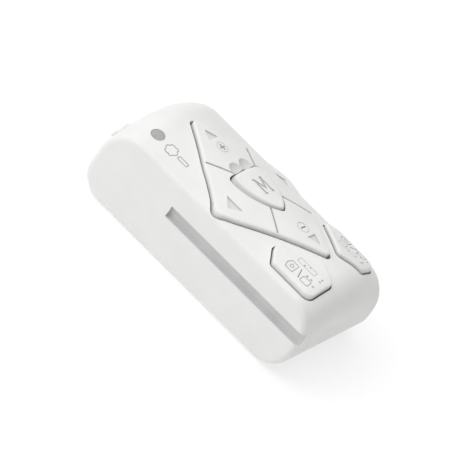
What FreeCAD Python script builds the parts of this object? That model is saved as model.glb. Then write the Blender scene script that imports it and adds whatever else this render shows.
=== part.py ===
import FreeCAD, Part
import math
import os

# Bluetooth remote control: a hand-held block with a crowned top, a rocking rhombus pad round a shield-shaped
# mode key, two five-sided function keys, a power key, and a rail groove along its flat left side.
# Frame: millimetres, +X right, +Y to the far end, +Z up, origin on the underside, under the body's middle.

# Body outline
body_length = 60.0
body_width = 33.0
body_height = 20.2
crown_radius = 40.0
crown_peak_x = -2.8
far_roll_radius = 7.4
near_roll_radius = 6.9
far_underside_radius = 6.4
near_underside_radius = 7.0
left_edge_radius = 1.3
right_edge_radius = 2.5
wall = 1.5
floor_wall = 2.0

# Rail groove in the left side
groove_low = 9.75
groove_height = 2.95
groove_depth = 1.2
groove_far_end = 9.7
groove_corner_radius = 0.35
groove_backing = 1.1

# Direction pad
pad_pivot_y = 0.7
pad_far_y = 22.2
pad_near_y = -20.3
pad_side_y = 1.5
pad_left_reach = 16.6
pad_right_reach = 15.3
pad_tip_radius = 1.5
pad_side_radius = 3.2
pad_rise = 0.95
pad_plate = 1.4
pad_skirt_wall = 1.2
pad_skirt_bottom = 15.0
pad_rim_radius = 0.45
seam_width = 0.5
seam_depth = 0.45
seam_rim_margin = 0.25
seam_degrees = 52.6
seam_centre = (0.35, 0.9)
scoop_radius = 3.4
scoop_depth = 0.7
scoop_x = 2.1
scoop_y = 6.9
pad_gap = 0.36
pad_nub_radius = 1.1
pad_nub_reach_x = 11.2
pad_nub_reach_y = 14.6
pad_lug_length = 5.0
pad_lug_reach = 0.8
pad_lug_height = 1.0

# Corners of the openings, sharper than those of the keys
opening_corner_radius = 1.1

# Mode key
mode_x = -0.6
mode_half_width = 5.8
mode_far_y = 5.5
mode_tip_y = -6.75
mode_edge_bow = 0.3
mode_waist_share = 0.5
mode_waist_reach = 0.86
mode_rise = 1.4
mode_wall = 1.1
mode_bottom = 16.95
mode_flange_reach = 0.6
mode_flange_height = 0.8
mode_rim_radius = 0.75
mode_gap = 0.3
mode_collar_gap = 0.4
mode_stem_radius = 1.4
mode_corner_radius = 1.7

# Function keys
function_far_point = (10.4, -11.4)
function_inner_near = (6.4, -25.5)
function_inner_point = (3.5, -19.8)
function_shoulder_y = -14.4
function_left_reach = 14.4
function_right_reach = 13.5
function_right_near_reach = 12.5
function_corner_radius = 1.2
function_outer_corner_radius = 2.0
function_rise = 0.95
function_plate = 1.4
function_wall = 1.1
function_bottom = 13.0
function_rim_radius = 0.4
function_gap = 0.34
function_stem_radius = 1.4
function_lug_bottom = 15.4
function_lug_height = 0.9
function_lug_length = 4.0
function_lug_reach = 0.7

# Power key on the far end
power_x = -10.5
power_z = 13.0
power_width = 5.1
power_height = 3.4
power_rise = 0.5
power_gap = 0.12
power_flange_y = 26.6
power_flange_reach = 0.7
power_flange_thickness = 0.8
power_stem_x = -6.2
power_stem_width = 2.0
power_stem_height = 1.8
power_stem_lift = 0.4
power_plunger_reach = 0.5
power_switch_height = 2.6

# Status lens
lens_x = -11.0
lens_y = 22.8
lens_radius = 1.55
lens_gap = 0.05
lens_collar_reach = 0.6
lens_collar_height = 0.8
lens_recess = 0.05
lens_foot = 1.1

# Key travel and pivot ring
key_travel = 0.4
power_travel = 0.35
pivot_height = 15.3
ring_inner_radius = 7.1
ring_width = 1.3
ring_height = 1.6
pin_radius = 0.6
pin_clearance = 0.05
pin_length = 1.3
post_thickness = 1.1
post_width = 2.6
ring_side_gap = 0.3

# Bottom cover and its fasteners
cover_half_width = 13.9
cover_half_length = 22.9
cover_thickness = 1.2
cover_corner_radius = 3.0
cover_gap = 0.1
cover_ledge = 1.1
screw_radius = 0.7
screw_head_radius = 1.35
screw_head_height = 0.8
screw_reach = 4.0
boss_radius = 1.8
screw_places = ((10.6, 16.6), (-10.6, 14.4), (0.0, -21.1))

# Inner parts
board_bottom = 7.4
board_thickness = 1.0
board_half_width = 13.6
board_half_length = 23.5
board_corner_radius = 1.2
board_hole_gap = 0.1
switch_width = 3.0
switch_body_height = 1.2
switch_plunger_radius = 0.65
switch_plunger_height = 0.4
switch_clearance = 0.15
frame_plate_bottom = 10.5
frame_plate_thickness = 0.7
frame_rim = 0.9
frame_margin = 0.3
frame_near_y = -22.9
frame_far_y = 18.6
window_width = 4.2
membrane_thickness = 0.4
membrane_bump_radius = 1.9
membrane_bump_height = 1.0
membrane_wall = 0.4
membrane_plunger_radius = 0.7
membrane_plunger_gap = 0.15
membrane_hole_gap = 0.3
stem_gap = 0.05
battery_width = 17.0
battery_length = 37.0
battery_thickness = 4.4
battery_corner_radius = 1.6
battery_centre_y = -0.3
foam_thickness = 0.9
foam_margin = 2.0
port_x = 4.6
port_width = 8.94
port_height = 3.16
port_length = 7.4
port_wall = 0.3
port_recess = 1.0
port_gap = 0.2
tongue_thickness = 0.7
tongue_width = 6.6
module_size = (8.6, 6.6, 1.6)
module_centre = (0.0, 8.4)
led_size = (1.6, 0.8, 0.7)
wire_radius = 0.35
wire_spacing = 1.6
connector_size = (4.2, 1.8, 1.8)
connector_x = 4.0
connector_gap = 0.9
component_places = (
    (6.2, -7.2, 3.0, 3.0, 0.8),
    (-5.6, -7.0, 4.0, 3.0, 0.9),
    (-7.2, 8.6, 3.2, 2.5, 0.7),
    (7.0, 7.6, 2.5, 2.0, 1.2),
    (4.2, -11.4, 2.0, 1.6, 1.0),
    (-4.6, 14.9, 1.6, 0.8, 0.6),
)

# Derived levels and places
half_length = body_length / 2
half_width = body_width / 2
board_top = board_bottom + board_thickness
frame_plate_top = frame_plate_bottom + frame_plate_thickness
membrane_top = frame_plate_top + membrane_thickness
bump_top = membrane_top + membrane_bump_height
switch_top = board_top + switch_body_height + switch_plunger_height
stem_bottom = bump_top + key_travel + stem_gap
inner_side = half_width - wall
inner_end = half_length - wall
crown_axis_z = body_height - crown_radius
crown_sweep_degrees = 110.0
power_switch_top = board_top + power_switch_height
battery_bottom = cover_thickness + foam_thickness
function_centre = (9.6, -20.2)
pad_switch_places = (
    (0.0, pad_pivot_y + pad_nub_reach_y),
    (0.0, pad_pivot_y - pad_nub_reach_y),
    (-pad_nub_reach_x, pad_pivot_y),
    (pad_nub_reach_x, pad_pivot_y),
)
function_switch_places = ((-function_centre[0], function_centre[1]), function_centre)
mode_switch_place = (0.0, pad_pivot_y)
key_switch_places = pad_switch_places + function_switch_places + (mode_switch_place,)
over_everything = 2 * body_height
flat_within = 0.01


def vec(x, y, z=0.0):
    return FreeCAD.Vector(x, y, z)


def crown_height(x):
    """Height of the crowned top at a distance x across the body."""
    run = x - crown_peak_x
    return body_height - crown_radius + math.sqrt(crown_radius**2 - run**2)


def roll_edge(outward, radius):
    """Arc that rolls one end's top over into its wall. Outward is 1 at the far end, -1 at the near."""
    end_y = outward * half_length
    reach = radius * math.sqrt(0.5)
    foot = vec(crown_peak_x, end_y, body_height - radius)
    head = vec(crown_peak_x, end_y - outward * radius, body_height)
    middle = vec(crown_peak_x, end_y - outward * (radius - reach), body_height - radius + reach)
    return Part.Arc(foot, middle, head).toShape(), foot, head


def crowned_turn(wire):
    """Solid of a closed outline at the crown peak, turned about the crown's axis."""
    axis_point = vec(crown_peak_x, 0, crown_axis_z)
    face = Part.Face(wire)
    face.rotate(axis_point, vec(0, 1, 0), -crown_sweep_degrees / 2)
    return face.revolve(axis_point, vec(0, 1, 0), crown_sweep_degrees)


def outer_outline():
    """Closed side outline at the crown peak, with both rolled ends."""
    far_arc, far_foot, far_head = roll_edge(1, far_roll_radius)
    near_arc, near_foot, near_head = roll_edge(-1, near_roll_radius)
    far_low = vec(crown_peak_x, half_length, -wall)
    near_low = vec(crown_peak_x, -half_length, -wall)
    edges = [near_arc, far_arc]
    straights = ((near_head, far_head), (far_foot, far_low), (far_low, near_low), (near_low, near_foot))
    edges += [Part.makeLine(start, end) for start, end in straights]
    return Part.Wire(Part.__sortEdges__(edges))


def body_solid():
    """The full outer form: crowned top and rolled ends over rounded lower ends, long edges rounded."""
    points = [
        (-half_length, 0.0),
        (half_length, 0.0),
        (half_length, over_everything),
        (-half_length, over_everything),
    ]
    block = side_prism(points, [near_underside_radius, far_underside_radius, 0.0, 0.0], half_width)
    form = crowned_turn(outer_outline()).common(block)
    for side, radius in ((-1, left_edge_radius), (1, right_edge_radius)):
        outline = [edge for edge in form.Edges if lies_at(edge, side * half_width)]
        form = form.makeFillet(radius, outline)
    return form


def lies_at(edge, x):
    """True for an edge that lies in the upright plane at x."""
    size = edge.BoundBox
    return size.XLength < flat_within and abs(size.XMin - x) < flat_within


def grown_turn(grow):
    """The crowned top and its rolls moved outwards by grow, with plain lower ends."""
    return crowned_turn(outer_outline().makeOffset2D(grow))


def side_prism(points, radii, reach):
    """Solid of a side outline given as (y, z) corners, run across the width from -reach to reach."""
    wire = polygon_wire(points, radii, 0.0)
    face = Part.Face(wire)
    face.rotate(vec(0, 0, 0), vec(1, 1, 1), 120)
    solid = face.extrude(vec(2 * reach, 0, 0))
    solid.translate(vec(-reach, 0, 0))
    return solid


def crown_block(grow, reach=None):
    """Everything under the crown's surface moved up by grow, without rolled ends."""
    side = half_width + wall if reach is None else reach
    arc = Part.Arc(
        vec(-side, 0, crown_height(-side) + grow),
        vec(crown_peak_x, 0, body_height + grow),
        vec(side, 0, crown_height(side) + grow),
    ).toShape()
    edges = [
        arc,
        Part.makeLine(vec(side, 0, crown_height(side) + grow), vec(side, 0, 0)),
        Part.makeLine(vec(side, 0, 0), vec(-side, 0, 0)),
        Part.makeLine(vec(-side, 0, 0), vec(-side, 0, crown_height(-side) + grow)),
    ]
    solid = Part.Face(Part.Wire(edges)).extrude(vec(0, body_length, 0))
    solid.translate(vec(0, -half_length, 0))
    return solid


def inner_space(inset, bottom):
    """Hollow of the housing, inset from the outer form: plain slopes behind the rolled ends."""
    x = crown_peak_x
    top = body_height - inset
    end = half_length - inset
    points = [
        (-end, -wall),
        (end, -wall),
        (end, body_height - far_roll_radius),
        (half_length - far_roll_radius, top),
        (-half_length + near_roll_radius, top),
        (-end, body_height - near_roll_radius),
    ]
    corners = [vec(x, y, z) for y, z in points]
    turned = crowned_turn(Part.makePolygon(corners + corners[:1]))
    slope = near_underside_radius - inset
    block_points = [
        (-end + slope, bottom),
        (end - slope, bottom),
        (end, bottom + slope),
        (end, over_everything),
        (-end, over_everything),
        (-end, bottom + slope),
    ]
    block = side_prism(block_points, [0.0] * len(block_points), half_width - inset)
    return turned.common(block)


def polygon_wire(points, radii, z):
    """Closed outline through points, each corner rounded by its radius."""
    count = len(points)
    edges = []
    starts = []
    ends = []
    middles = []
    for index in range(count):
        corner = vec(points[index][0], points[index][1], z)
        before = vec(points[index - 1][0], points[index - 1][1], z) - corner
        after = vec(points[(index + 1) % count][0], points[(index + 1) % count][1], z) - corner
        before.normalize()
        after.normalize()
        half_angle = before.getAngle(after) / 2
        radius = radii[index]
        setback = radius / math.tan(half_angle)
        bisector = before + after
        bisector.normalize()
        starts.append(corner + before * setback)
        ends.append(corner + after * setback)
        middles.append(corner + bisector * (radius / math.sin(half_angle) - radius))
    for index in range(count):
        if radii[index] > 0:
            edges.append(Part.Arc(starts[index], middles[index], ends[index]).toShape())
        edges.append(Part.makeLine(ends[index], starts[(index + 1) % count]))
    return Part.Wire(edges)


def prism(wire, height):
    """Upright solid on a flat closed outline."""
    return Part.Face(wire).extrude(vec(0, 0, height))


def offset_polygon(points, distance):
    """The corners of a convex outline, each side moved outwards by distance."""
    count = len(points)
    centre_x = sum(point[0] for point in points) / count
    centre_y = sum(point[1] for point in points) / count
    moved = []
    for index in range(count):
        normals = []
        for first, second in ((index - 1, index), (index, (index + 1) % count)):
            along_x = points[second][0] - points[first][0]
            along_y = points[second][1] - points[first][1]
            length = math.hypot(along_x, along_y)
            normal = (along_y / length, -along_x / length)
            outward = (points[index][0] - centre_x) * normal[0] + (points[index][1] - centre_y) * normal[1]
            if outward < 0:
                normal = (-normal[0], -normal[1])
            normals.append(normal)
        share = 1 + normals[0][0] * normals[1][0] + normals[0][1] * normals[1][1]
        shift_x = (normals[0][0] + normals[1][0]) * distance / share
        shift_y = (normals[0][1] + normals[1][1]) * distance / share
        moved.append((points[index][0] + shift_x, points[index][1] + shift_y))
    return moved


def box(low, high):
    """Box between two corners."""
    return Part.makeBox(high[0] - low[0], high[1] - low[1], high[2] - low[2], vec(*low))


def rounded_box(low, high, radius):
    """Box with its upright edges rounded."""
    points = [(low[0], low[1]), (high[0], low[1]), (high[0], high[1]), (low[0], high[1])]
    return prism(polygon_wire(points, [radius] * 4, low[2]), high[2] - low[2])


def upright(place, radius, low, high):
    """Upright cylinder."""
    return Part.makeCylinder(radius, high - low, vec(place[0], place[1], low))


def fuse_all(shapes):
    """One solid of shapes that overlap."""
    result = shapes[0]
    for shape in shapes[1:]:
        result = result.fuse(shape)
    return result.removeSplitter()


def cut_all(shape, tools):
    """The shape less every tool."""
    for tool in tools:
        shape = shape.cut(tool)
    return shape


def pad_points(distance=0.0):
    """Corners of the direction pad's kite, each side moved outwards by distance."""
    corners = [
        (0.0, pad_far_y),
        (-pad_left_reach, pad_side_y),
        (0.0, pad_near_y),
        (pad_right_reach, pad_side_y),
    ]
    return offset_polygon(corners, distance)


def pad_prism(distance, low, high, tip_radius=pad_tip_radius):
    """Upright kite of the direction pad, grown by distance."""
    radii = [max(radius + distance, pad_gap) for radius in (tip_radius, pad_side_radius) * 2]
    return prism(polygon_wire(pad_points(distance), radii, low), high - low)


def mode_prism(distance, low, high, corner_radius=mode_corner_radius):
    """Upright shield of the mode key, grown by distance: bowed far edge, bowed sides, rounded corners."""
    half = mode_half_width + distance
    far = pad_pivot_y + mode_far_y + distance
    tip = pad_pivot_y + mode_tip_y - distance
    corner_y = far - mode_edge_bow
    waist_y = corner_y + (tip - corner_y) * mode_waist_share
    waist = half * mode_waist_reach
    left = vec(mode_x - half, corner_y, low)
    right = vec(mode_x + half, corner_y, low)
    point = vec(mode_x, tip, low)
    edges = [
        Part.Arc(left, vec(mode_x, far, low), right).toShape(),
        Part.Arc(right, vec(mode_x + waist, waist_y, low), point).toShape(),
        Part.Arc(point, vec(mode_x - waist, waist_y, low), left).toShape(),
    ]
    solid = prism(Part.Wire(edges), high - low)
    upright_edges = [edge for edge in solid.Edges if is_upright(edge)]
    return solid.makeFillet(max(corner_radius + distance, mode_gap), upright_edges)


def function_points(side, distance=0.0):
    """Corners of a function key. Side is -1 on the left and 1 on the right."""
    reach = function_left_reach if side < 0 else function_right_reach
    near_reach = function_left_reach if side < 0 else function_right_near_reach
    corners = (
        function_far_point,
        (reach, function_shoulder_y),
        (near_reach, function_inner_near[1]),
        function_inner_near,
        function_inner_point,
    )
    return [(side * x, y) for x, y in offset_polygon(corners, distance)]


def function_prism(side, distance, low, high, corner_radius=function_corner_radius):
    """Upright five-sided outline of a function key, grown by distance."""
    small = max(corner_radius + distance, function_gap)
    large = max(function_outer_corner_radius + distance, function_gap)
    radii = [small, small, large, small, small]
    return prism(polygon_wire(function_points(side, distance), radii, low), high - low)


def pill_prism(place, width, height, near_y, far_y):
    """Pill outline running along Y, centred on place (x, z)."""
    radius = height / 2
    reach = width / 2 - radius
    length = far_y - near_y
    left = Part.makeCylinder(radius, length, vec(place[0] - reach, near_y, place[1]), vec(0, 1, 0))
    right = Part.makeCylinder(radius, length, vec(place[0] + reach, near_y, place[1]), vec(0, 1, 0))
    middle = box((place[0] - reach, near_y, place[1] - radius), (place[0] + reach, far_y, place[1] + radius))
    return fuse_all([left, middle, right])


def power_prism(distance, near_y, far_y):
    """Pill of the power key, grown by distance."""
    size = (power_width + 2 * distance, power_height + 2 * distance)
    return pill_prism((power_x, power_z), size[0], size[1], near_y, far_y)


def port_prism(distance, near_y, far_y):
    """Pill of the charging port, grown by distance."""
    size = (port_width + 2 * distance, port_height + 2 * distance)
    return pill_prism((port_x, board_top + port_height / 2), size[0], size[1], near_y, far_y)


def cover_prism(distance, low, high):
    """Rounded rectangle of the bottom cover, grown by distance."""
    return rounded_box(
        (-cover_half_width - distance, -cover_half_length - distance, low),
        (cover_half_width + distance, cover_half_length + distance, high),
        cover_corner_radius + distance,
    )


def groove_cut():
    """Rail groove: closed at its far end, open at the near end, with soft inner corners."""
    outside = -half_width - wall
    inside = -half_width + groove_depth
    top = groove_low + groove_height
    points = [(outside, groove_low), (inside, groove_low), (inside, top), (outside, top)]
    face = Part.Face(polygon_wire(points, [0.0, groove_corner_radius, groove_corner_radius, 0.0], 0.0))
    face.rotate(vec(0, 0, 0), vec(1, 0, 0), 90)
    cut = face.extrude(vec(0, half_length + wall + groove_far_end, 0))
    cut.translate(vec(0, -half_length - wall, 0))
    return cut


def housing():
    """Moulded shell with a floor ledge for the cover, key openings and hanging screw bosses."""
    shell = body_solid().cut(inner_space(wall, floor_wall))
    backing = box(
        (-inner_side - wall / 4, -inner_end - wall / 4, groove_low - groove_backing),
        (
            -half_width + groove_depth + groove_backing,
            groove_far_end + groove_backing,
            groove_low + groove_height + groove_backing,
        ),
    )
    ceiling = crown_block(-wall / 2)
    bosses = []
    for place in screw_places:
        bosses.append(upright(place, boss_radius, board_top, over_everything).common(ceiling))
    collar = lens_radius + lens_collar_reach + wall / 2
    lens_boss = upright((lens_x, lens_y), collar, lens_collar_top() - lens_collar_height, over_everything)
    lens_boss = lens_boss.common(inner_space(wall / 2, floor_wall))
    shell = fuse_all([shell, backing, lens_boss] + bosses)
    cuts = [
        groove_cut(),
        pad_prism(pad_gap, pad_skirt_bottom - wall, over_everything, opening_corner_radius),
        function_prism(-1, function_gap, function_bottom - wall / 2, over_everything, opening_corner_radius),
        function_prism(1, function_gap, function_bottom - wall / 2, over_everything, opening_corner_radius),
        power_prism(power_gap, power_back() - power_travel - power_gap, half_length + wall),
        port_prism(port_gap, inner_end - wall, half_length + wall),
        upright((lens_x, lens_y), lens_radius + lens_gap, board_top, over_everything),
        upright((lens_x, lens_y), lens_radius + lens_collar_reach + lens_gap, board_top, lens_collar_top()),
        cover_prism(cover_gap, -wall, cover_thickness),
        cover_prism(-cover_ledge, -wall, floor_wall + wall),
    ]
    for place in screw_places:
        cuts.append(upright(place, screw_radius, board_top - wall, board_top + screw_reach))
        cuts.append(upright(place, boss_radius + cover_gap, cover_thickness, board_bottom))
    return cut_all(shell, cuts)


def lens_collar_top():
    """Level of the face under the top wall that the light pipe's collar meets."""
    return crown_height(lens_x) - wall - lens_collar_height / 2


def bottom_cover():
    """Inset plate flush with the underside, with screw tubes that clamp the board."""
    tubes = [upright(place, boss_radius, cover_thickness / 2, board_bottom) for place in screw_places]
    cover = fuse_all([cover_prism(0.0, 0.0, cover_thickness)] + tubes)
    for place in screw_places:
        cover = cover.cut(upright(place, screw_radius + cover_gap, -wall, board_bottom + wall))
        cover = cover.cut(upright(place, screw_head_radius + cover_gap, -wall, screw_head_height + cover_gap))
    return cover


def cover_screws():
    """Three long screws through cover, tube and board into the hanging bosses."""
    screws = []
    for place in screw_places:
        head = upright(place, screw_head_radius, cover_gap, screw_head_height + cover_gap)
        shank = upright(place, screw_radius, cover_gap, board_top + screw_reach - wall / 2)
        screws.append(fuse_all([head, shank]))
    return Part.makeCompound(screws)


def pad_side_middle(side_x, side_y):
    """Middle of one side of the pad's kite, and the direction along that side in degrees."""
    corners = pad_points()
    tip = corners[0] if side_y > 0 else corners[2]
    side = corners[1] if side_x < 0 else corners[3]
    middle = ((tip[0] + side[0]) / 2, (tip[1] + side[1]) / 2)
    return middle, math.degrees(math.atan2(tip[1] - side[1], tip[0] - side[0]))


def seam_lines():
    """The two scored lines that cross on the pad, each from rim to rim."""
    inside = pad_prism(-seam_rim_margin, 0.0, over_everything)
    seams = []
    for lean in (-1, 1):
        bar = box((-half_length, -seam_width / 2, 0.0), (half_length, seam_width / 2, over_everything))
        bar.rotate(vec(0, 0, 0), vec(0, 0, 1), lean * seam_degrees)
        bar.translate(vec(*seam_centre))
        seams.append(bar.common(inside))
    return seams


def top_rim(shape, bottom):
    """Edges round the top face of an upright solid that stands on bottom."""
    return [edge for edge in shape.Edges if edge.BoundBox.ZMin > bottom + wall / 4 and not is_upright(edge)]


def is_upright(edge):
    """True for an edge that only runs along Z."""
    size = edge.BoundBox
    return size.XLength < flat_within and size.YLength < flat_within


def direction_pad():
    """Rocking cap: crowned top with a soft rim, scored seams, scoops, skirt, nubs, lugs and pivot ears."""
    cap = pad_prism(0.0, pad_skirt_bottom, over_everything).common(crown_block(pad_rise))
    cap = cap.makeFillet(pad_rim_radius, top_rim(cap, pad_skirt_bottom))
    pocket = pad_prism(-pad_skirt_wall, 0.0, over_everything).common(crown_block(pad_under()))
    parts = [cap.cut(pocket)]
    ceiling = crown_block(pad_under() + pad_plate / 4)
    for place in pad_switch_places:
        parts.append(upright(place, pad_nub_radius, stem_bottom, over_everything).common(ceiling))
    for side_x in (-1, 1):
        for side_y in (-1, 1):
            parts.append(pad_lug(side_x, side_y))
    ear_near = ring_inner_radius + ring_width + ring_side_gap
    for side in (-1, 1):
        first = pad_pivot_y + side * ear_near
        second = pad_pivot_y + side * (ear_near + post_thickness)
        low = (-post_width / 2, min(first, second), pivot_height - post_width / 2)
        high = (post_width / 2, max(first, second), over_everything)
        parts.append(box(low, high).common(ceiling))
    collar_low = mode_bottom + mode_flange_height + mode_collar_gap
    parts.append(mode_prism(mode_gap + mode_wall, collar_low, over_everything).common(ceiling))
    pad = fuse_all(parts)
    cuts = [mode_prism(mode_gap, 0.0, over_everything, opening_corner_radius), pivot_bore(vec(0, 1, 0))]
    floor = crown_block(pad_rise - seam_depth)
    cuts += [seam.cut(floor) for seam in seam_lines()]
    for side in (-1, 1):
        x = side * scoop_x
        centre_z = crown_height(x) + pad_rise - scoop_depth + scoop_radius
        cuts.append(Part.makeSphere(scoop_radius, vec(x, scoop_y, centre_z)))
    return cut_all(pad, cuts)


def pad_under():
    """How far the underside of the pad's plate lies above the crown. It is negative below it."""
    return pad_rise - pad_plate


def pivot_bore(direction):
    """Long bore through the pivot's centre with running clearance round the pins."""
    length = 4 * ring_inner_radius
    start = vec(0, pad_pivot_y, pivot_height) - direction * (length / 2)
    return Part.makeCylinder(pin_radius + pin_clearance, length, start, direction)


def outward_lug(place, along_degrees, outward_sign, length, depth, reach, low, height):
    """Small block on the middle of a key side, reaching outwards under the top wall."""
    lug = Part.makeBox(length, depth + reach, height, vec(-length / 2, -depth, low))
    lug.rotate(vec(0, 0, 0), vec(0, 0, 1), along_degrees + (0 if outward_sign > 0 else 180))
    lug.translate(vec(place[0], place[1], 0))
    return lug


def pad_lug(side_x, side_y):
    """One retaining lug of the pad."""
    middle, along = pad_side_middle(side_x, side_y)
    outward_sign = outward_facing(middle, along, (0.0, pad_pivot_y))
    return outward_lug(
        middle,
        along,
        outward_sign,
        pad_lug_length,
        pad_skirt_wall,
        pad_lug_reach,
        pad_skirt_bottom,
        pad_lug_height,
    )


def outward_facing(place, along_degrees, centre):
    """1 if the left of the direction along a side faces away from the centre, else -1."""
    turn = math.radians(along_degrees)
    normal = (-math.sin(turn), math.cos(turn))
    away = (place[0] - centre[0]) * normal[0] + (place[1] - centre[1]) * normal[1]
    return 1 if away > 0 else -1


def pivot_ring():
    """Gimbal ring round the mode key: pins along X in the frame's posts and along Y in the pad's ears."""
    centre = (0.0, pad_pivot_y)
    low = pivot_height - ring_height / 2
    high = pivot_height + ring_height / 2
    outer = ring_inner_radius + ring_width
    ring = upright(centre, outer, low, high).cut(upright(centre, ring_inner_radius, low - wall, high + wall))
    parts = [ring]
    for direction in (vec(1, 0, 0), vec(-1, 0, 0), vec(0, 1, 0), vec(0, -1, 0)):
        start = vec(0, pad_pivot_y, pivot_height) + direction * (outer - ring_width / 2)
        parts.append(Part.makeCylinder(pin_radius, ring_width / 2 + pin_length, start, direction))
    return fuse_all(parts)


def mode_key():
    """Shield-shaped key: crowned top, softened rim, hollow skirt with a flange, and a stem."""
    cap = mode_prism(0.0, mode_bottom, over_everything).common(crown_block(mode_rise))
    cap = cap.makeFillet(mode_rim_radius, top_rim(cap, mode_bottom))
    flange = mode_prism(mode_flange_reach, mode_bottom, mode_bottom + mode_flange_height)
    pocket = mode_prism(-mode_wall, 0.0, over_everything).common(crown_block(mode_rise - mode_wall))
    stem = upright(mode_switch_place, mode_stem_radius, stem_bottom, over_everything)
    stem = stem.common(crown_block(mode_rise - mode_wall / 2))
    return fuse_all([cap.fuse(flange).cut(pocket), stem])


def function_key(side):
    """Five-sided key: crowned top, softened rim, hollow skirt, stem, and two lugs under the top wall."""
    cap = function_prism(side, 0.0, function_bottom, over_everything).common(grown_turn(function_rise))
    cap = cap.makeFillet(function_rim_radius, top_rim(cap, function_bottom))
    under = inner_space(function_plate - function_rise, function_bottom - wall)
    pocket = function_prism(side, -function_wall, function_bottom - wall, over_everything).common(under)
    place = (side * function_centre[0], function_centre[1])
    stem = upright(place, function_stem_radius, stem_bottom, over_everything)
    stem = stem.common(crown_block(function_rise - function_plate / 2))
    parts = [cap.cut(pocket), stem]
    corners = function_points(side)
    for first, second in ((corners[0], corners[4]), (corners[4], corners[3])):
        middle = ((first[0] + second[0]) / 2, (first[1] + second[1]) / 2)
        along = math.degrees(math.atan2(second[1] - first[1], second[0] - first[0]))
        parts.append(
            outward_lug(
                middle,
                along,
                outward_facing(middle, along, place),
                function_lug_length,
                function_wall,
                function_lug_reach,
                function_lug_bottom,
                function_lug_height,
            )
        )
    return fuse_all(parts)


def power_back():
    """Y of the power key's back face at rest."""
    return power_flange_y - power_flange_thickness


def power_key():
    """Pill-shaped key on the far end, with a flange behind the wall and a stem to its switch."""
    back = power_back()
    cap = power_prism(0.0, back, half_length + wall).common(grown_turn(power_rise))
    flange = power_prism(power_flange_reach, back, power_flange_y)
    flange = flange.common(inner_space(wall + power_gap, floor_wall))
    stem_low = board_top + power_stem_lift
    arm = box(
        (power_x, back, stem_low),
        (power_stem_x + power_stem_width / 2, power_flange_y, power_z),
    )
    stem_near = board_half_length + power_plunger_reach + power_travel + stem_gap
    stem_far = back + power_flange_thickness / 2
    stem = box(
        (power_stem_x - power_stem_width / 2, stem_near, stem_low),
        (power_stem_x + power_stem_width / 2, stem_far, stem_low + power_stem_height),
    )
    return fuse_all([cap, flange, arm, stem])


def indicator_lens():
    """Light pipe: a round rod through the top wall, with a collar under it."""
    rod = upright((lens_x, lens_y), lens_radius, board_top + lens_foot, over_everything)
    rod = rod.common(grown_turn(-lens_recess))
    top = lens_collar_top()
    collar = upright((lens_x, lens_y), lens_radius + lens_collar_reach, top - lens_collar_height, top)
    return fuse_all([rod, collar])


def circuit_board():
    """Board with rounded corners and three holes for the long screws."""
    board = rounded_box(
        (-board_half_width, -board_half_length, board_bottom),
        (board_half_width, board_half_length, board_top),
        board_corner_radius,
    )
    holes = []
    for place in screw_places:
        holes.append(upright(place, screw_radius + board_hole_gap, board_bottom - wall, board_top + wall))
    return cut_all(board, holes)


def push_switch(place):
    """Small upright push switch: square body and a round plunger."""
    half = switch_width / 2
    low = (place[0] - half, place[1] - half, board_top)
    body = box(low, (place[0] + half, place[1] + half, board_top + switch_body_height))
    return fuse_all([body, upright(place, switch_plunger_radius, board_top, switch_top)])


def power_switch():
    """Side-acting push switch at the board's far edge."""
    half = switch_width / 2
    far = board_half_length
    low = (power_stem_x - half, far - switch_width, board_top)
    body = box(low, (power_stem_x + half, far, power_switch_top))
    plunger = Part.makeCylinder(
        switch_plunger_radius,
        half + power_plunger_reach,
        vec(power_stem_x, far - half, board_top + power_stem_lift + power_stem_height / 2),
        vec(0, 1, 0),
    )
    return fuse_all([body, plunger])


def frame_box(low_z, high_z, inset=0.0):
    """Rounded rectangle of the switch carrier between two levels."""
    side = board_half_width - frame_margin - inset
    low = (-side, frame_near_y + inset, low_z)
    return rounded_box(low, (side, frame_far_y - inset, high_z), board_corner_radius)


def post_places(clearance=0.0):
    """Lower and upper corners of the two pivot posts, in X and Y, grown by clearance."""
    near = ring_inner_radius + ring_width + ring_side_gap
    places = []
    for side in (-1, 1):
        first = side * (near - clearance)
        second = side * (near + post_thickness + clearance)
        reach = post_width / 2 + clearance
        low = (min(first, second), pad_pivot_y - reach)
        places.append((low, (max(first, second), pad_pivot_y + reach)))
    return places


def key_frame():
    """Moulded switch carrier: a plate on a low rim with windows over the switches and two pivot posts."""
    frame = frame_box(board_top, frame_plate_top)
    frame = frame.cut(frame_box(board_top - wall, frame_plate_bottom, frame_rim))
    post_top = pivot_height + 2 * pin_radius
    posts = [box((*low, frame_plate_bottom), (*high, post_top)) for low, high in post_places()]
    frame = fuse_all([frame] + posts)
    cuts = [pivot_bore(vec(1, 0, 0))]
    half = window_width / 2
    for place in key_switch_places:
        side = board_half_width - frame_margin - frame_rim
        low = (max(place[0] - half, -side), place[1] - half, frame_plate_bottom - wall / 4)
        cuts.append(box(low, (min(place[0] + half, side), place[1] + half, frame_plate_top + wall)))
        reach = switch_width / 2 + switch_clearance
        low = (place[0] - reach, place[1] - reach, board_top - wall)
        pocket_top = board_top + switch_body_height + switch_clearance
        cuts.append(box(low, (place[0] + reach, place[1] + reach, pocket_top)))
    for place in screw_places:
        cuts.append(upright(place, boss_radius + frame_margin, 0.0, over_everything))
    return cut_all(frame, cuts)


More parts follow.
